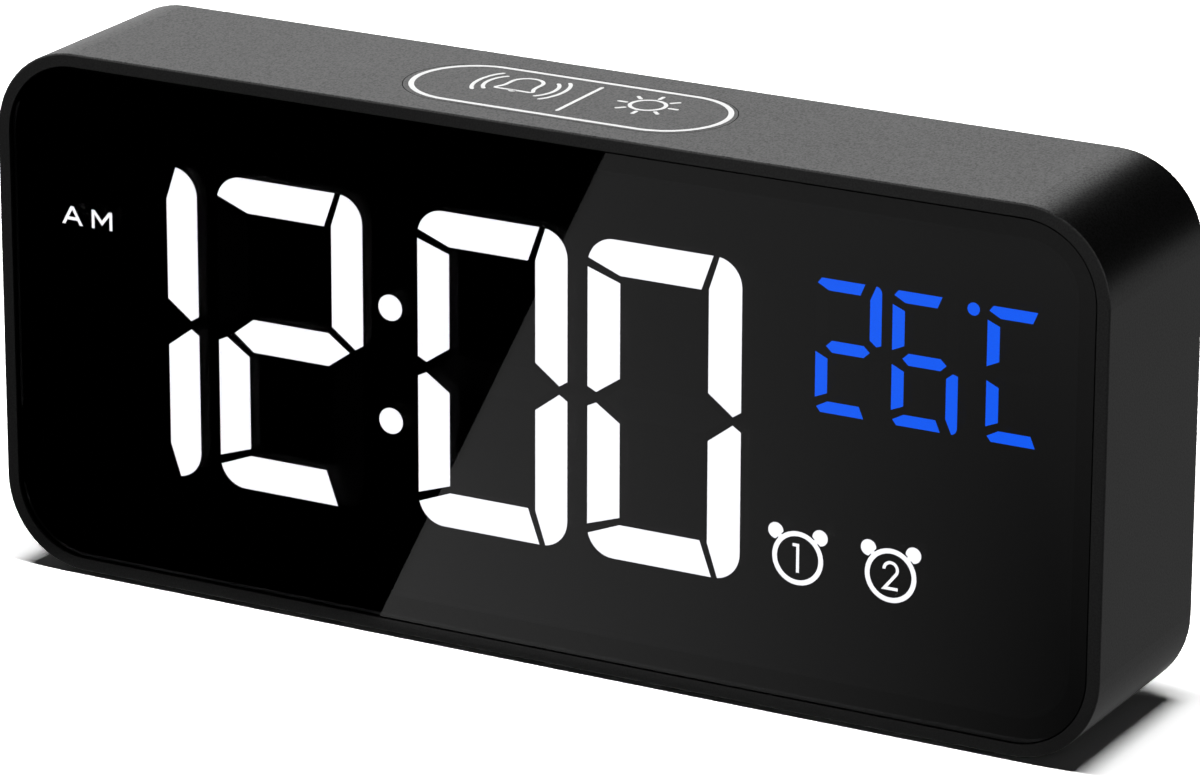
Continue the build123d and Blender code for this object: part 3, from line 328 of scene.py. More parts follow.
class Finishes:
    """All finishes of the clock, each built once and handed out by the record's slot name."""

    # Black ABS from a spark-eroded mould: satin, its grain drawn coarser than the real 0.1 mm
    # so that it still shows, and longer along Y, where the mould's core dragged it on leaving. It
    # is grey where it mirrors bright surroundings at a low angle, and its pits show there most.
    CASE = Finish("moulded_satin_abs", "030303", "050505", 0.36, 1.53, cloud_mm=30.0,
                  grain_mm=0.25, grain_height_mm=0.016, gloss_spread=0.01, pit_share=0.62,
                  side_share=0.3, stretch=1.5)
    # The same plastic in the keys, a touch smoother because fingers and a finer mould polish it.
    KEY = Finish("moulded_key_abs", "030303", "060606", 0.35, 1.53, cloud_mm=30.0,
                 grain_mm=0.25, grain_height_mm=0.016, gloss_spread=0.01, pit_share=0.6,
                 side_share=0.3, stretch=1.5)
    # Cast and polished sheet: its waves are long, and so low that they only soften what it
    # mirrors. The dye takes seven eighths of the light on the way through.
    LENS = SmokedAcrylic("polished_smoked_acrylic", "616163", "616163", 0.015, 1.49,
                         cloud_mm=60.0, grain_mm=40.0, grain_height_mm=0.0004,
                         gloss_spread=0.005)
    # Polystyrene with a milky filler, moulded: it scatters its lamp's light over the whole bar.
    WHITE = LitBar("lit_milky_polystyrene", "e6e8ea", "f2f4f6", 0.4, 1.59, grain_height_mm=0.001)
    # The same plastic, dyed blue.
    BLUE = LitBar("lit_blue_polystyrene", "2050c8", "2a5cd8", 0.4, 1.59, grain_height_mm=0.001,
                  light="0060ff", strength=7.6)
    # The bars that are off, of smoked polystyrene: so dark that they vanish behind the sheet.
    UNLIT = Finish("unlit_smoked_polystyrene", "0a0a0b", "0d0d0e", 0.5, 1.59)
    # Polyester film with black ink, laid against the acrylic: the index is the step between the
    # two, so the film hardly mirrors and the display stays black around its bars.
    FILM = Finish("printed_black_polyester", "030303", "050505", 0.45, 1.05,
                  grain_height_mm=0.0005)
    # Filled polycarbonate: opaque, so that no well lights up its neighbour, and evenly matt.
    HOUSING = Finish("moulded_black_polycarbonate", "141414", "191919", 0.5, 1.58)
    # Closed-cell acrylic foam, die-cut: dull, and pitted where the cut opens its cells.
    FOAM = Finish("adhesive_acrylic_foam", "0c0c0c", "121212", 0.8, 1.47, grain_height_mm=0.02)
    # Epoxy and glass cloth under green solder lacquer, which is glossy over the copper.
    BOARD = Laminate("lacquered_glass_laminate", "0c4a26", "12602f", 0.3, 1.52)
    # Filled epoxy from a transfer mould: dull black, with the mould's fine matt.
    RESIN = Finish("moulded_epoxy_resin", "17171a", "1f1f22", 0.6, 1.55, grain_mm=0.12)
    # Yellow phosphor in clear silicone: soft to the eye, with a slight gloss.
    LAMP = Finish("phosphor_in_silicone", "d8c26a", "e6d27e", 0.35, 1.41)
    # Nickel on drawn steel: bright, with the fine lines of the draw.
    CAN = BrushedMetal("nickel_plated_can", "c2bfb8", "cecbc4", 0.22,
                       grain_mm=0.2, grain_height_mm=0.0008)
    # Nickel on folded sheet: bright, slightly warm, with the sheet's rolling lines.
    SHELL = BrushedMetal("nickel_plated_sheet", "c0bcb4", "cdc9c1", 0.28,
                         grain_mm=0.15, grain_height_mm=0.001)
    # Nickel on rolled spring strip: a little duller than the folded shells.
    STRIP = BrushedMetal("nickel_plated_spring_strip", "c4c1ba", "d0cdc6", 0.3)
    # Turned brass under nickel: the tool's rings run across Y, so the grain is short along it.
    PIN = BrushedMetal("nickel_plated_turned_brass", "c9c0a8", "d3cab2", 0.22,
                       grain_mm=0.1, grain_height_mm=0.0008, stretch=0.2)
    # Zinc on steel: a bluish grey metal with the bath's fine crystals.
    ZINC = Finish("zinc_plated_steel", "b9bcc0", "c6c9cc", 0.35, metallic=1.0)
    # Black oxide on steel: a dark conversion layer, half way between metal and matt black.
    OXIDE = Finish("black_oxide_steel", "1d1d1f", "28282b", 0.42, metallic=0.6,
                   grain_mm=0.2, grain_height_mm=0.003)
    # Bare drawn aluminium: pale and slightly milky.
    ALUMINIUM = BrushedMetal("drawn_aluminium_can", "c4c6ca", "d0d2d6", 0.3)
    # ABS from a plain mould: greyer and duller than the case.
    INNER = Finish("moulded_plain_abs", "151517", "1b1b1d", 0.48, 1.53)
    # Moulded polyamide, glass filled: dark grey, with an uneven gloss.
    SWITCH = Finish("moulded_polyamide", "26262a", "2e2e33", 0.5, 1.53)
    # Moulded polyester, unpainted: a warm off-white.
    SOCKET = Finish("moulded_pale_polyester", "d8d4c8", "e0dcd0", 0.42, 1.55)
    # Silicone rubber: matt, slightly dusty.
    RUBBER = Finish("moulded_silicone_rubber", "141414", "1c1c1c", 0.78, 1.43,
                    grain_mm=0.25, grain_height_mm=0.01)
    # Pad-printed two-part ink: near white, with a faint lay from the pad.
    INK = Finish("pad_printed_white_ink", "eeeeee", "f4f4f4", 0.42, 1.5, cloud_mm=3.0,
                 grain_mm=0.25, grain_height_mm=0.002)

    BY_SLOT = {
        "case_plastic": CASE, "key_plastic": KEY, "smoked_acrylic": LENS, "white_light": WHITE,
        "blue_light": BLUE, "unlit_diffuser": UNLIT, "mask_film": FILM, "housing_plastic": HOUSING,
        "adhesive_foam": FOAM, "board_laminate": BOARD, "chip_resin": RESIN, "lamp_resin": LAMP,
        "plated_can": CAN, "plated_shell": SHELL, "plated_strip": STRIP, "plated_brass": PIN,
        "screw_steel": ZINC, "black_screw_steel": OXIDE, "capacitor_can": ALUMINIUM,
        "inner_plastic": INNER, "switch_plastic": SWITCH, "socket_plastic": SOCKET,
        "foot_rubber": RUBBER,
    }

    def __init__(self) -> None:
        """Starts with nothing built."""
        self.built: dict[str, bpy.types.Material] = {}

    def get(self, finish: Finish) -> bpy.types.Material:
        """A finish's one material, built the first time that it is asked for."""
        if finish.name not in self.built:
            self.built[finish.name] = finish.build()
        return self.built[finish.name]

    def dress_solids(self, record: dict[str, Any], nodes: dict[str, bpy.types.Object]) -> None:
        """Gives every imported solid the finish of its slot.

        Args:
            record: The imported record, whose subparts name each node's slot.
            nodes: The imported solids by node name.
        """
        for part in record["subparts"]:
            solid = nodes[part["node"]]
            material = self.get(self.BY_SLOT[part["material_slot"]])
            solid.data.materials.clear()
            solid.data.materials.append(material)
            LOG.info("dressed %s in %s", part["node"], material.name)


@dataclass(frozen=True)
class Stroke:
    """One line of a print: a ribbon of constant width along a path in a flat plane.

    Attributes:
        path: Points along the line, n by 2, in millimetres of the print's plane.
        width: Width of the line.
        closed: Whether the line runs back into its start.
    """

    path: np.ndarray
    width: float
    closed: bool = False

    def edges(self) -> tuple[np.ndarray, np.ndarray]:
        """Left and right edge of the ribbon.

        Returns:
            Two n by 2 arrays: each point plus and minus the path's normal times half the width. On
            an open line the half width follows a quarter circle over its last half width, so its
            ends are round.
        """
        path = self.path
        if self.closed:
            along = np.roll(path, -1, 0) - np.roll(path, 1, 0)
            half = np.full(len(path), self.width / 2)
        else:
            along = np.gradient(path, axis=0)
            run = run_along(path)
            reach = np.minimum(run, run[-1] - run) / (self.width / 2)
            half = self.width / 2 * np.sqrt(1 - (1 - np.clip(reach, TIP_REACH, 1)) ** 2)
        along = along / np.linalg.norm(along, axis=1, keepdims=True)
        normal = np.stack([-along[:, 1], along[:, 0]], 1)
        return path + normal * half[:, None], path - normal * half[:, None]


def run_along(path: np.ndarray) -> np.ndarray:
    """Distance of each point from the start, along the path: the steps' lengths added up."""
    return np.concatenate([[0.0], np.cumsum(np.hypot(*np.diff(path, axis=0).T))])


def rounded_line(points: Sequence[Sequence[float]], radius: float = 0.0) -> np.ndarray:
    """Samples a run of straight lines with its corners rounded.

    Args:
        points: Corner points of the line.
        radius: Distance from each corner at which its rounding starts, half a side at most.

    Returns:
        n by 2 points: straight runs, and at each corner the parabola whose control points are the
        corner and the two points at that distance from it.
    """
    corners = np.asarray(points, float)
    pieces = [corners[:1]]
    for before, here, after in zip(corners, corners[1:], corners[2:]):
        near = here + (before - here) * min(0.5, radius / np.linalg.norm(before - here))
        far = here + (after - here) * min(0.5, radius / np.linalg.norm(after - here))
        t = np.linspace(0, 1, CORNER_POINTS if radius else 1)[:, None]
        pieces.append((1 - t) ** 2 * near + 2 * t * (1 - t) * here + t ** 2 * far)
    line = np.concatenate([*pieces, corners[-1:]])
    run = run_along(line)
    at = np.linspace(0, run[-1], max(3, int(run[-1] / LINE_STEP) + 1))
    return np.stack([np.interp(at, run, line[:, 0]), np.interp(at, run, line[:, 1])], 1)


def arc(centre: Sequence[float], radius: Sequence[float], start: float, end: float,
        count: int) -> np.ndarray:
    """Samples an elliptic arc.

    Args:
        centre: The ellipse's centre.
        radius: Its half axes along x and y.
        start: Turn of the first point in degrees, anticlockwise from x.
        end: Turn of the last point in degrees.
        count: How many points.

    Returns:
        n by 2 points: the centre plus the half axes times the turn's cosine and sine.
    """
    turn = np.radians(np.linspace(start, end, count))
    return np.stack([centre[0] + radius[0] * np.cos(turn), centre[1] + radius[1] * np.sin(turn)], 1)


def closed_ring(centre: Sequence[float], radius: float) -> np.ndarray:
    """Points of a whole circle, without its first point again at the end."""
    return arc(centre, (radius, radius), 0, 360, RING_POINTS + 1)[:-1]


@dataclass
class InkPlane:
    """A flat place that takes prints.

    Attributes:
        origin: The place of the print's point (0, 0) in millimetres.
        right: Direction of the print's x.
        up: Direction of the print's y.
        thickness: How far the ink stands out of the surface.
        sunk: How far the ink's underside lies below the surface.
    """

    origin: Triple
    right: Triple
    up: Triple
    thickness: float = 0.02
    sunk: float = 0.03

    def place(self, flat: np.ndarray, rise: float) -> np.ndarray:
        """Puts flat points in space.

        Args:
            flat: Points of the print, n by 2.
            rise: How far they lie over the surface.

        Returns:
            n by 3 points: the origin plus x along right, y along up and the rise along the cross
            product of the two, which points out of the surface.
        """
        origin, right, up = (np.asarray(v, float) for v in (self.origin, self.right, self.up))
        return origin + flat[:, :1] * right + flat[:, 1:] * up + rise * np.cross(right, up)

    def ribbon(self, stroke: Stroke) -> tuple[np.ndarray, list[np.ndarray]]:
        """Works out one line: a rectangular section carried along its path.

        Args:
            stroke: The line.

        Returns:
            Its points, four corners for each point of the path, and its faces: rows of four that
            join each section to the next, and two caps where the line is open.
        """
        left, right = stroke.edges()
        count = len(left)
        corners = [(left, -self.sunk), (left, self.thickness),
                   (right, self.thickness), (right, -self.sunk)]
        points = np.stack([self.place(flat, rise) for flat, rise in corners], 1).reshape(-1, 3)
        here = np.arange(count if stroke.closed else count - 1)
        there = (here + 1) % count
        first, second = here * 4, there * 4
        walls = [np.stack([first + k, first + after, second + after, second + k], 1)
                 for k, after in ((0, 1), (1, 2), (2, 3), (3, 0))]
        section = np.arange(4)
        caps = [] if stroke.closed else [section[None, ::-1], section[None] + 4 * (count - 1)]
        return points, walls + caps

    def slab(self, outline: np.ndarray) -> tuple[np.ndarray, list[np.ndarray]]:
        """Works out one filled shape: its outline below and above the surface.

        Args:
            outline: A convex outline that runs anticlockwise, n by 2.

        Returns:
            Its points, and its faces: a band between the two outlines, the underside and the top.
        """
        count = len(outline)
        points = np.concatenate([
            self.place(outline, rise) for rise in (-self.sunk, self.thickness)])
        here = np.arange(count)
        there = (here + 1) % count
        band = np.stack([here, there, there + count, here + count], 1)
        return points, [band, here[None, ::-1], here[None] + count]

    def mesh(self, name: str, strokes: Iterable[Stroke],
             fills: Iterable[np.ndarray] = ()) -> bpy.types.Mesh:
        """Builds the prints as closed slabs.

        Args:
            name: Name of the mesh.
            strokes: The lines to print.
            fills: Outlines of filled shapes that are convex, run anticlockwise.

        Returns:
            A mesh in metres.
        """
        points: list[np.ndarray] = []
        faces: list[list[int]] = []
        base = 0
        shapes = [self.ribbon(stroke) for stroke in strokes]
        for places, rows in shapes + [self.slab(outline) for outline in fills]:
            points.append(places)
            for row in rows:
                faces.extend((row + base).tolist())
            base += len(places)
        mesh = bpy.data.meshes.new(name)
        mesh.from_pydata((np.concatenate(points) * MM).tolist(), [], faces)
        mesh.update()
        return mesh


class Printer:
    """Makes print pieces and lets them ride on the body that they are printed on."""

    def __init__(self, finishes: Finishes) -> None:
        """Keeps the finishes that the prints take."""
        self.finishes = finishes

    def add(self, name: str, plane: InkPlane, strokes: Iterable[Stroke], body: Body,
            fills: Iterable[np.ndarray] = ()) -> None:
        """Adds one print as its own piece.

        Args:
            name: Name of the piece.
            plane: The surface that is printed on.
            strokes: Lines of the print.
            body: The body that carries it.
            fills: Filled outlines of the print.
        """
        piece = bpy.data.objects.new(name, plane.mesh(name, strokes, fills))
        bpy.context.scene.collection.objects.link(piece)
        piece.data.materials.append(self.finishes.get(Finishes.INK))
        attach(piece, body.value)
        LOG.info("printed %s with %d faces", name, len(piece.data.polygons))


@dataclass
class TopPrints:
    """White signs on the key in the clock's top: a ring, a bell with its waves, a line and a sun.

    Places are in millimetres: x as on the clock, y counted from the front face to the rear.

    Attributes:
        ring_left: Outer left end of the ring.
        ring_right: Outer right end of the ring.
        ring_front: Middle of its front line.
        ring_rear: Middle of its rear line.
        ring_line: Width of its line.
        ring_points: Samples on each half circle and along each straight side.
        line: Width of every other line.
        divider: x of the line between the signs, and y of its two ends.
        bell_middle: x of the bell's middle.
        bell_base: y of its foot.
        bell_top: y of the top of its dome.
        bell_half: Half width of its body.
        bell_flare: Half width of its foot.
        flare_rise: How high over the foot the flare starts.
        bell_rounding: Distance from each of its corners at which the rounding starts.
        clapper: Half axes of the clapper's bow.
        wave_middle: y of the middle of the waves.
        wave_spans: For each wave, its ellipse's distance from the bell's middle and half axes.
        wave_turn: How far a wave runs round its ellipse on either side, in degrees.
        sun: Middle of the sun.
        sun_radius: Radius of its circle.
        ray_reach: Distances from its middle at which each ray starts and ends.
        rays: How many rays.
    """

    ring_left: float = -24.6
    ring_right: float = 21.1
    ring_front: float = 5.6
    ring_rear: float = 22.3
    ring_line: float = 0.74
    ring_points: int = 60
    line: float = 0.54
    divider: Triple = (-0.4, 7.8, 20.4)
    bell_middle: float = -10.0
    bell_base: float = 13.55
    bell_top: float = 19.4
    bell_half: float = 2.17
    bell_flare: float = 2.95
    flare_rise: float = 1.6
    bell_rounding: float = 0.7
    clapper: Pair = (0.35, 0.45)
    wave_middle: float = 15.7
    wave_spans: tuple[Triple, ...] = ((2.4, 2.55, 3.8), (3.52, 2.73, 4.93))
    wave_turn: float = 62.0
    sun: Pair = (8.7, 15.8)
    sun_radius: float = 2.35
    ray_reach: Pair = (2.9, 4.5)
    rays: int = 8

    def plane(self) -> InkPlane:
        """Finds the key's upper face.

        Returns:
            The face, its x as on the clock and its y counted from the front face.
        """
        _, key_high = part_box("top_key")
        case_low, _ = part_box("case_shell")
        return InkPlane((0.0, case_low.y / MM, key_high.z / MM), (1, 0, 0), (0, 1, 0))

    def ring(self) -> list[Stroke]:
        """Draws the stadium: two half circles joined by straight lines.

        Returns:
            One closed line.
        """
        radius = (self.ring_rear - self.ring_front) / 2
        middle = (self.ring_rear + self.ring_front) / 2
        left = self.ring_left + self.ring_line / 2 + radius
        right = self.ring_right - self.ring_line / 2 - radius
        share = np.linspace(0, 1, self.ring_points)[1:-1, None]
        side = share * np.array([right - left, 0.0])
        path = [arc((right, middle), (radius, radius), -90, 90, self.ring_points),
                np.array([right, self.ring_rear]) - side,
                arc((left, middle), (radius, radius), 90, 270, self.ring_points),
                np.array([left, self.ring_front]) + side]
        return [Stroke(np.concatenate(path), self.ring_line, True)]

    def bell(self) -> list[Stroke]:
        """Draws the bell: a dome on straight sides that flare to the foot, and the clapper's bow.

        Returns:
            The closed line of the body, and the clapper.
        """
        m, half, flare = self.bell_middle, self.bell_half, self.bell_flare
        shoulder, waist = self.bell_top - half, self.bell_base + self.flare_rise
        dome = arc((m, shoulder), (half, half), 180, 0, 30)
        outline = [(m - half, shoulder), (m - half, waist), (m - flare, self.bell_base),
                   (m + flare, self.bell_base), (m + half, waist), (m + half, shoulder)]
        sides = rounded_line(outline, self.bell_rounding)
        body = np.concatenate([sides, dome[::-1][1:-1]])
        clapper = arc((m, self.bell_base), self.clapper, 180, 360, 20)
        return [Stroke(body, self.line, True), Stroke(clapper, self.line)]

    def waves(self) -> list[Stroke]:
        """Draws two bows on each side of the bell.

        Returns:
            Open lines, each the side of an ellipse that faces away from the bell.
        """
        strokes = []
        for side, facing in ((-1, 180), (1, 0)):
            for away, wide, tall in self.wave_spans:
                middle = (self.bell_middle + side * away, self.wave_middle)
                start, end = facing - self.wave_turn, facing + self.wave_turn
                strokes.append(Stroke(arc(middle, (wide, tall), start, end, 30), self.line))
        return strokes

    def sunshine(self) -> list[Stroke]:
        """Draws the sun.

        Returns:
            A closed circle and its rays, which are straight lines at equal turns.
        """
        strokes = [Stroke(closed_ring(self.sun, self.sun_radius), self.line, True)]
        for k in range(self.rays):
            turn = 2 * math.pi * k / self.rays
            way = np.array([math.cos(turn), math.sin(turn)])
            ray = rounded_line([self.sun + way * reach for reach in self.ray_reach])
            strokes.append(Stroke(ray, self.line))
        return strokes

    def add(self, printer: Printer) -> None:
        """Prints the signs on the key.

        Args:
            printer: Makes the pieces.
        """
        plane = self.plane()
        x, low, high = self.divider
        signs = {
            "key_ring_print": self.ring(), "snooze_bell_print": self.bell(),
            "snooze_wave_print": self.waves(), "light_sun_print": self.sunshine(),
            "key_divider_print": [Stroke(rounded_line([(x, low), (x, high)]), self.line)],
        }
        for name, strokes in signs.items():
            printer.add(name, plane, strokes, Body.TOP_KEY)


class Way(Enum):
    """Which way an arrow points."""

    UP = 1
    DOWN = -1


@dataclass
class RearPrints:
    """White signs on the five setting keys: a clock face, two alarm signs and two arrows.

    Radii, line and drop are in millimetres. A form inside a ring is given in that ring's radii.

    Attributes:
        radius: Radius of the clock face.
        line: Width of the lines.
        hands: End of the long hand, the middle, and the end of the short one.
        alarm_radius: Radius of the alarm signs' ring.
        alarm_drop: How far that ring lies below the key's middle.
        cap: How far each cap's middle lies from the ring's, across and up, and its radius.
        cap_turn: How far a cap runs round on either side of its slanted axis, in degrees.
        one: Path of the numeral 1.
        two_bow: Height of the middle of the numeral 2's bow and its radius.
        two_turns: Turns between which that bow runs, in degrees.
        two_foot: The two ends of the numeral's foot.
        arrow: Corners of the arrow that points up, in millimetres.
    """

    radius: float = 1.55
    line: float = 0.28
    hands: tuple[Pair, ...] = ((0.0, 0.62), (0.0, 0.0), (0.45, -0.28))
    alarm_radius: float = 1.395
    alarm_drop: float = 0.15
    cap: Pair = (0.72, 0.62)
    cap_turn: float = 48.0
    one: tuple[Pair, ...] = ((-0.22, 0.35), (0.03584, 0.5), (0.03584, -0.68))
    two_bow: Pair = (0.12, 0.34)
    two_turns: Pair = (165.0, -40.0)
    two_foot: tuple[Pair, ...] = ((-0.36, -0.66), (0.42, -0.66))
    arrow: tuple[Pair, ...] = ((-1.215, -0.7425), (1.215, -0.7425), (0.0, 1.1475))

    def plane(self, node: str) -> InkPlane:
        """Finds the rear face of a key.

        Args:
            node: The key.

        Returns:
            The face as seen from behind, where its x runs towards the clock's -X.
        """
        low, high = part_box(node)
        middle = (low + high) / 2 / MM
        return InkPlane((middle.x, high.y / MM, middle.z), (-1, 0, 0), (0, 0, 1))

    def clock_face(self) -> list[Stroke]:
        """Circle with two hands."""
        hands = rounded_line(np.array(self.hands) * self.radius)
        return [Stroke(closed_ring((0, 0), self.radius), self.line, True), Stroke(hands, self.line)]

    def numeral_one(self) -> np.ndarray:
        """Path of the numeral 1: a flag that rises to the stem."""
        return rounded_line(np.array(self.one) * self.alarm_radius)

    def numeral_two(self) -> np.ndarray:
        """Draws the numeral 2.

        Returns:
            Its path: a round bow, a slanted line down to the foot, and the foot.
        """
        middle, radius = np.array(self.two_bow) * self.alarm_radius
        bow = arc((0, middle), (radius, radius), *self.two_turns, 20)
        foot = rounded_line([bow[-1], *(np.array(self.two_foot) * self.alarm_radius)])
        return np.concatenate([bow, foot[1:]])

    def alarm(self, numeral: np.ndarray) -> list[Stroke]:
        """Draws an alarm clock's outline.

        Args:
            numeral: Path of the numeral inside it.

        Returns:
            A closed ring, the bows of its two caps, and the numeral.
        """
        ring = closed_ring((0, -self.alarm_drop), self.alarm_radius)
        away, radius = np.array(self.cap) * self.alarm_radius
        caps = [arc((side * away, away - self.alarm_drop), (radius, radius),
                    axis - self.cap_turn, axis + self.cap_turn, 16)
                for side, axis in ((-1, 135), (1, 45))]
        return [Stroke(ring, self.line, True), *(Stroke(p, self.line) for p in (*caps, numeral))]

    def triangle(self, way: Way) -> list[np.ndarray]:
        """Draws an arrow head.

        Args:
            way: Which way it points.

        Returns:
            Its one outline, anticlockwise: the upward arrow, turned over and run backwards where
            it points down.
        """
        points = np.array(self.arrow) * (1, way.value)
        return [points[::way.value]]

    def add(self, printer: Printer) -> None:
        """Prints the signs on the keys.

        Args:
            printer: Makes the pieces.
        """
        signs: dict[Body, tuple[list[Stroke], list[np.ndarray]]] = {
            Body.TIME: (self.clock_face(), []),
            Body.ALARM_ONE: (self.alarm(self.numeral_one()), []),
            Body.ALARM_TWO: (self.alarm(self.numeral_two()), []),
            Body.UP: ([], self.triangle(Way.UP)), Body.DOWN: ([], self.triangle(Way.DOWN)),
        }
        for body, (strokes, fills) in signs.items():
            name = body.value.replace("key", "sign_print")
            printer.add(name, self.plane(body.value), strokes, body, fills)


class Seen(Enum):
    """Which rays a stage piece stops."""

    ALL = "all"
    MIRRORED_ONLY = "mirrored_only"


def rectangle(left: float, right: float, low: float, high: float) -> list[Pair]:
    """Corners of a rectangle, anticlockwise from the lower left one."""
    return [(left, low), (right, low), (right, high), (left, high)]


@dataclass(frozen=True)
class UprightCard:
    """A card that stands upright, far in front of the clock or behind it.

    Attributes:
        left: x of its left edge.
        right: x of its right edge.
        low: z of its lower edge.
        high: z of its upper edge.
        depth: y at which it stands.
        level: Its strength.
    """

    left: float
    right: float
    low: float
    high: float
    depth: float
    level: float

    def corners(self) -> list[Triple]:
        """Its four corners in space."""
        outline = rectangle(self.left, self.right, self.low, self.high)
        return [(x, self.depth, z) for x, z in outline]


@dataclass
class Studio:
    """Pale floor, plain soft light, and the cards that the glossy lens and the case mirror.

    Sizes are in millimetres, strengths in units where 1 shows as white. The cards are seen only in
    mirrors: they paint the reflections on the lens and the case.

    Attributes:
        floor_half: Half the side of the square floor.
        floor_colour: sRGB hex of its paper.
        floor_gain: How many times brighter the camera sees the paper than the clock does.
        sky_light: Strength of the sky for all that is neither seen nor mirrored.
        lamp_place: Middle of the lamp.
        lamp_size: Its length along the clock and its width.
        lamp_power: Its power in watts.
        divide: x at z = 0 of the line between the black and the grey half of the reflection painted
        on the lens, and its move to the right with each millimetre of height.
        grey_levels: Strengths of the grey half of the painted reflection at the lens's bottom left,
        bottom right, top left, top right.
        lens_span: The two x on the lens between which these strengths run.
        lens_rise: The two z between which they run.
        lens_across: The floor at (x, y) shows at x - first * y - second on the lens.
        lens_up: It shows at the height -first * y - second.
        card_reach: How far the cards on the floor run out.
        card_rise: Their height over the floor.
        rim_gap: Air between the front face and the card that paints the reflection in the rim.
        rim_rise: Height of that card.
        rim_level: Its strength, which sets how grey the painted reflection makes the rim.
        corner_inset: How far under the case the black card at its left starts; it paints a dark
        reflection.
        corner_back: How far to the rear that card runs.
        side_inset: How far under the case the grey card at its right starts; it paints the
        reflection in the right side wall.
        side_gap: How far behind the front face that card starts.
        side_level: Its strength, which sets how grey the painted reflection makes the right side.
        back_card: Black card behind the clock, which the rounded right edge mirrors: it paints the
            dark band on that edge.
        front_card: Dark grey card in front of the clock, which its top mirrors from behind; it
            paints a dark reflection where the rounded front edge would mirror the white sky.
    """

    floor_half: float = 1000.0
    floor_colour: str = "f4f4f4"
    floor_gain: float = 2.3
    sky_light: float = 0.003
    lamp_place: Triple = (0.0, -130.0, 1500.0)
    lamp_size: Pair = (1160.0, 140.0)
    lamp_power: float = 25.0
    divide: Pair = (-24.1, 0.4923)
    grey_levels: Levels = (0.7, 0.06, 0.44, 0.28)
    lens_span: Pair = (-25.0, 80.0)
    lens_rise: Pair = (0.0, 72.0)
    lens_across: Pair = (0.547, 7.8)
    lens_up: Pair = (0.3836, 5.5)
    card_reach: float = 900.0
    card_rise: float = 0.4
    rim_gap: float = 0.1
    rim_rise: float = 0.3
    rim_level: float = 0.13
    corner_inset: float = 3.5
    corner_back: float = 300.0
    side_inset: float = 4.0
    side_gap: float = 0.3
    side_level: float = 0.24
    back_card: UprightCard = UprightCard(-60.0, 2500.0, 12.0, 2500.0, 620.0, 0.0)
    front_card: UprightCard = UprightCard(-200.0, 3200.0, 260.0, 3200.0, -1500.0, 0.12)

    def world(self) -> None:
        """Sky that is white where it is seen or mirrored, and hardly lights anything else."""
        world = bpy.data.worlds.new("studio_sky")
        tree = empty_tree(world)
        path = add_node(tree, "ShaderNodeLightPath")
        seen = path.outputs["Is Camera Ray"]
        for name in ("Is Glossy Ray", "Is Transmission Ray"):
            seen = add_node(tree, "ShaderNodeMath", {"operation": "MAXIMUM"}, {
                0: seen, 1: path.outputs[name]}).outputs[0]
        power = add_node(tree, "ShaderNodeMapRange", sockets={
            "Value": seen, "To Min": self.sky_light, "To Max": 1.0}).outputs[0]
        sky = add_node(tree, "ShaderNodeBackground", sockets={
            "Color": linear("ffffff"), "Strength": power}).outputs[0]
        add_node(tree, "ShaderNodeOutputWorld", sockets={"Surface": sky})
        bpy.context.scene.world = world

    def paper(self) -> bpy.types.Material:
        """Makes pale matt paper, exposed so that all but its contact shadow is white.

        Returns:
            The material.
        """
        material = bpy.data.materials.new("pale_studio_paper")
        tree = empty_tree(material)
        camera = add_node(tree, "ShaderNodeLightPath").outputs["Is Camera Ray"]
        shade = linear(self.floor_colour)[0]
        tone = add_node(tree, "ShaderNodeMapRange", sockets={
            "Value": camera, "To Min": shade, "To Max": shade * self.floor_gain}).outputs[0]
        matt = add_node(tree, "ShaderNodeBsdfDiffuse", sockets={"Color": tone}).outputs[0]
        add_node(tree, "ShaderNodeOutputMaterial", sockets={"Surface": matt})
        return material

    def painted_reflection(self, name: str, levels: Levels) -> bpy.types.Material:
        """Makes a card that shines by itself and paints a reflection, evenly graded across the lens
        that mirrors it.

        Args:
            name: Name of the material.
            levels: Strengths at the lens's bottom left, bottom right, top left and top right.

        Returns:
            The material. Its place on the floor says where on the lens it is mirrored, across and
            up, and the strength is mixed between the four corners by these two.
        """
        material = bpy.data.materials.new(name)
        tree = empty_tree(material)
        place = add_node(tree, "ShaderNodeTexCoord").outputs["Object"]
        (lean, shift), (climb, lift) = self.lens_across, self.lens_up
        across, rise = (
            add_node(tree, "ShaderNodeVectorMath", {"operation": "DOT_PRODUCT"}, {
                0: place, 1: way}).outputs["Value"]
            for way in ((1 / MM, -lean / MM, 0.0), (0.0, -climb / MM, 0.0)))
        bottom, top = (
            add_node(tree, "ShaderNodeMapRange", sockets={
                "Value": across, "From Min": self.lens_span[0] + shift,
                "From Max": self.lens_span[1] + shift,
                "To Min": left, "To Max": right}).outputs[0]
            for left, right in (levels[:2], levels[2:]))
        power = add_node(tree, "ShaderNodeMapRange", sockets={
            "Value": rise, "From Min": self.lens_rise[0] + lift,
            "From Max": self.lens_rise[1] + lift, "To Min": bottom, "To Max": top}).outputs[0]
        glow = add_node(tree, "ShaderNodeEmission", sockets={
            "Color": linear("ffffff"), "Strength": power}).outputs[0]
        add_node(tree, "ShaderNodeOutputMaterial", sockets={"Surface": glow})
        return material

    def card(self, name: str, corners: Sequence[Triple], material: bpy.types.Material,
             seen: Seen = Seen.MIRRORED_ONLY) -> None:
        """Adds a flat stage piece.

        Args:
            name: Name of the piece.
            corners: Corner points in millimetres.
            material: Its material.
            seen: Which rays it stops.
        """
        mesh = bpy.data.meshes.new(name)
        mesh.from_pydata((np.asarray(corners) * MM).tolist(), [], [tuple(range(len(corners)))])
        mesh.update()
        mesh.materials.append(material)
        piece = bpy.data.objects.new(name, mesh)
        bpy.context.scene.collection.objects.link(piece)
        # A card seen only in mirrors paints a reflection: the camera, diffuse light and shadows
        # pass it by.
        if seen is Seen.MIRRORED_ONLY:
            piece.visible_camera = piece.visible_diffuse = piece.visible_shadow = False
        LOG.info("placed %s", name)

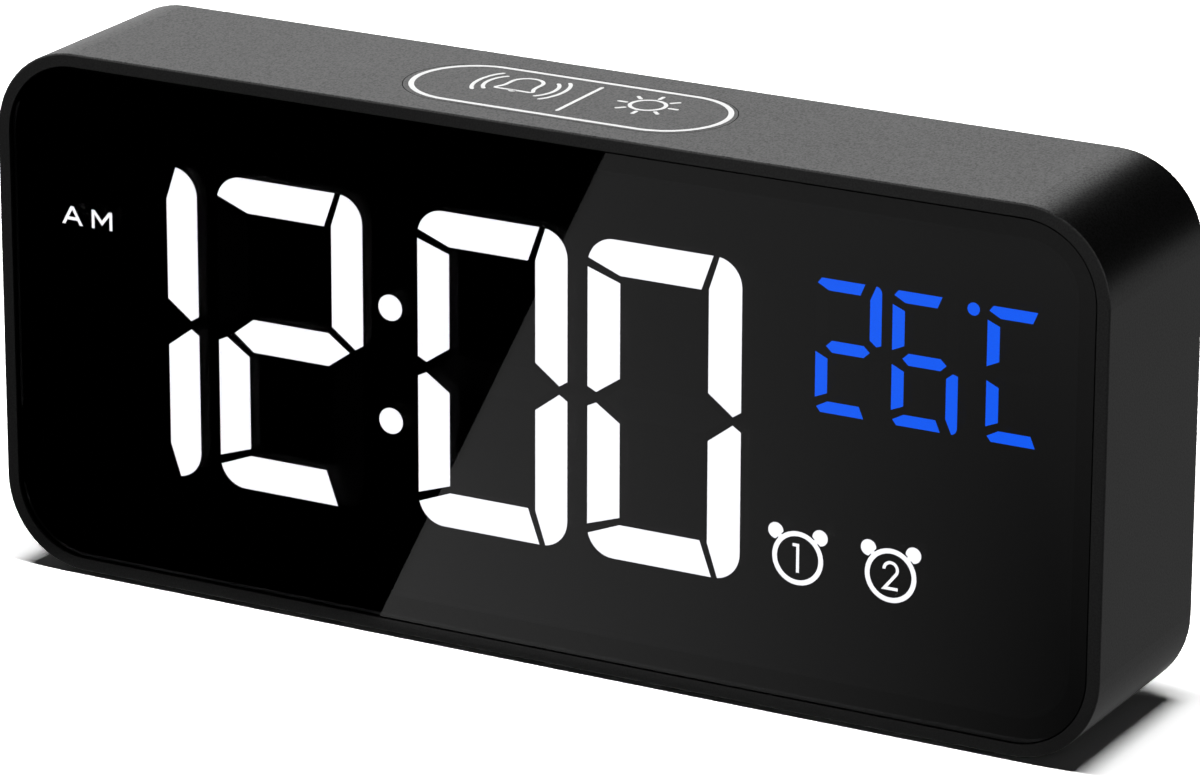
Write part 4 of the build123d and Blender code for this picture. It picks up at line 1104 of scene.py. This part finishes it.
    def lamp(self) -> None:
        """One long lamp overhead, along the clock and a little in front of it.

        It shines under both rounded sides, so the shadow is soft there and behind the clock, and
        sharp along the front edge, which all of the lamp lies in front of. It is not mirrored.
        """
        light = bpy.data.lights.new("long_overhead", "AREA")
        light.shape = "RECTANGLE"
        light.size, light.size_y = (v * MM for v in self.lamp_size)
        light.energy = self.lamp_power
        lamp = bpy.data.objects.new("long_overhead", light)
        bpy.context.scene.collection.objects.link(lamp)
        lamp.matrix_world = Matrix.Translation(Vector(self.lamp_place) * MM)
        lamp.visible_glossy = False

    def mirrored(self, eye: Vector, points: Iterable[Pair]) -> list[Pair]:
        """Finds the places on the floor that the lens shows to the camera.

        Args:
            eye: The camera's place in millimetres.
            points: Places (x, z) on the lens in millimetres.

        Returns:
            For each, where the line from the camera's mirror image behind the lens through that
            place comes down to the height of the cards.
        """
        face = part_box("front_lens")[0].y / MM
        back = Vector((eye.x, 2 * face - eye.y, eye.z))
        floor = []
        for x, z in points:
            share = (z - self.card_rise) / (back.z - z)
            floor.append((x + share * (x - back.x), face + share * (face - back.y)))
        return floor

    def floor_cards(self, eye: Vector) -> dict[str, tuple[list[Pair], float, Levels]]:
        """Lays out the cards on the floor.

        Args:
            eye: The camera's place in millimetres.

        Returns:
            Outline, height over the floor and strengths of each card. The black and the grey one
            fill the whole lens with a painted reflection, on either side of its dividing line, and
            the other three lie in front of the clock and beside it and paint reflections in its
            case.
        """
        (left, _, low), (right, _, high) = (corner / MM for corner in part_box("front_lens"))
        foot, head = (self.divide[0] + self.divide[1] * z for z in (low, high))
        dark = self.mirrored(eye, [(left, low), (foot, low), (head, high), (left, high)])
        grey = self.mirrored(eye, [(foot, low), (right, low), (right, high), (head, high)])
        (left, face, _), (right, _, _) = (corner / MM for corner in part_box("case_shell"))
        far = self.card_reach
        rim = rectangle(-far, far, -far, face - self.rim_gap)
        corner = [(left + self.corner_inset, face), (-far, self.corner_back), (-far, face)]
        side = rectangle(right - self.side_inset, far, face + self.side_gap, far)
        return {
            "rim_card": (rim, self.rim_rise, (self.rim_level,) * 4),
            "black_card": (dark, self.card_rise, (0.0,) * 4),
            "grey_card": (grey, self.card_rise, self.grey_levels),
            "corner_card": (corner, self.card_rise, (0.0,) * 4),
            "side_card": (side, self.card_rise, (self.side_level,) * 4),
        }

    def build(self, eye: Vector) -> None:
        """Sets up the world, the floor, the cards and the lamp.

        Args:
            eye: The camera's place in millimetres.
        """
        self.world()
        floor = rectangle(-self.floor_half, self.floor_half, -self.floor_half, self.floor_half)
        self.card("paper_floor", [(x, y, 0.0) for x, y in floor], self.paper(), Seen.ALL)
        for name, (outline, rise, levels) in self.floor_cards(eye).items():
            self.card(name, [(x, y, rise) for x, y in outline], self.painted_reflection(name, levels))
        for name, card in (("back_card", self.back_card), ("front_card", self.front_card)):
            self.card(name, card.corners(), self.painted_reflection(name, (card.level,) * 4))
        self.lamp()


@dataclass
class Viewpoint:
    """The camera: where it looks, from which side, how far away and with which lens.

    Attributes:
        azimuth: Turn of the camera's place round the target, from the front to the right, degrees.
        elevation: Its rise over the target, degrees.
        roll: Its turn about its own axis, degrees.
        distance: How far it is from the target, like all lengths in millimetres.
        target: What it looks at.
        lens: Focal length.
        sensor: Width of the sensor.
        clip: Nearest and farthest distance that it sees.
    """

    azimuth: float = 28.677
    elevation: float = 18.603
    roll: float = 0.164
    distance: float = 840.72
    target: Triple = (2.596, 0.0, 34.142)
    lens: float = 192.47
    sensor: float = 36.0
    clip: Pair = (10.0, 30000.0)

    def build(self) -> Vector:
        """Adds the camera: its back axis points from the target to the camera's place.

        Returns:
            The camera's place in millimetres.
        """
        turn, rise, tilt = (math.radians(v) for v in (self.azimuth, self.elevation, self.roll))
        level = math.cos(rise)
        back = Vector((math.sin(turn) * level, -math.cos(turn) * level, math.sin(rise)))
        right = (-back).cross(Vector((0, 0, 1))).normalized()
        up = back.cross(right)
        side = right * math.cos(tilt) + up * math.sin(tilt)
        top = up * math.cos(tilt) - right * math.sin(tilt)
        data = bpy.data.cameras.new("viewpoint")
        data.lens, data.sensor_width = self.lens, self.sensor
        data.clip_start, data.clip_end = (v * MM for v in self.clip)
        camera = bpy.data.objects.new("viewpoint", data)
        bpy.context.scene.collection.objects.link(camera)
        place = Vector(self.target) * MM + back * self.distance * MM
        camera.matrix_world = Matrix((
            (side.x, top.x, back.x, place.x), (side.y, top.y, back.y, place.y),
            (side.z, top.z, back.z, place.z), (0, 0, 0, 1)))
        bpy.context.scene.camera = camera
        LOG.info("camera at %s", [round(v, 4) for v in place])
        return place / MM


@dataclass
class AlarmClock:
    """The whole clock: its finishes, which dress the solids, and the prints on its keys."""

    finishes: Finishes = field(default_factory=Finishes)
    top_prints: TopPrints = field(default_factory=TopPrints)
    rear_prints: RearPrints = field(default_factory=RearPrints)

    def build(self) -> None:
        """Dresses the solids and adds the prints."""
        self.finishes.dress_solids(frame["record"], frame["nodes"])
        printer = Printer(self.finishes)
        self.top_prints.add(printer)
        self.rear_prints.add(printer)


def main() -> None:
    """Builds the camera, the studio and the clock."""
    logging.basicConfig(level=logging.INFO, format="%(name)s: %(message)s")
    eye = Viewpoint().build()
    Studio().build(eye)
    AlarmClock().build()
    bpy.context.scene.view_settings.view_transform = "Standard"


if __name__ == "__main__":
    main()
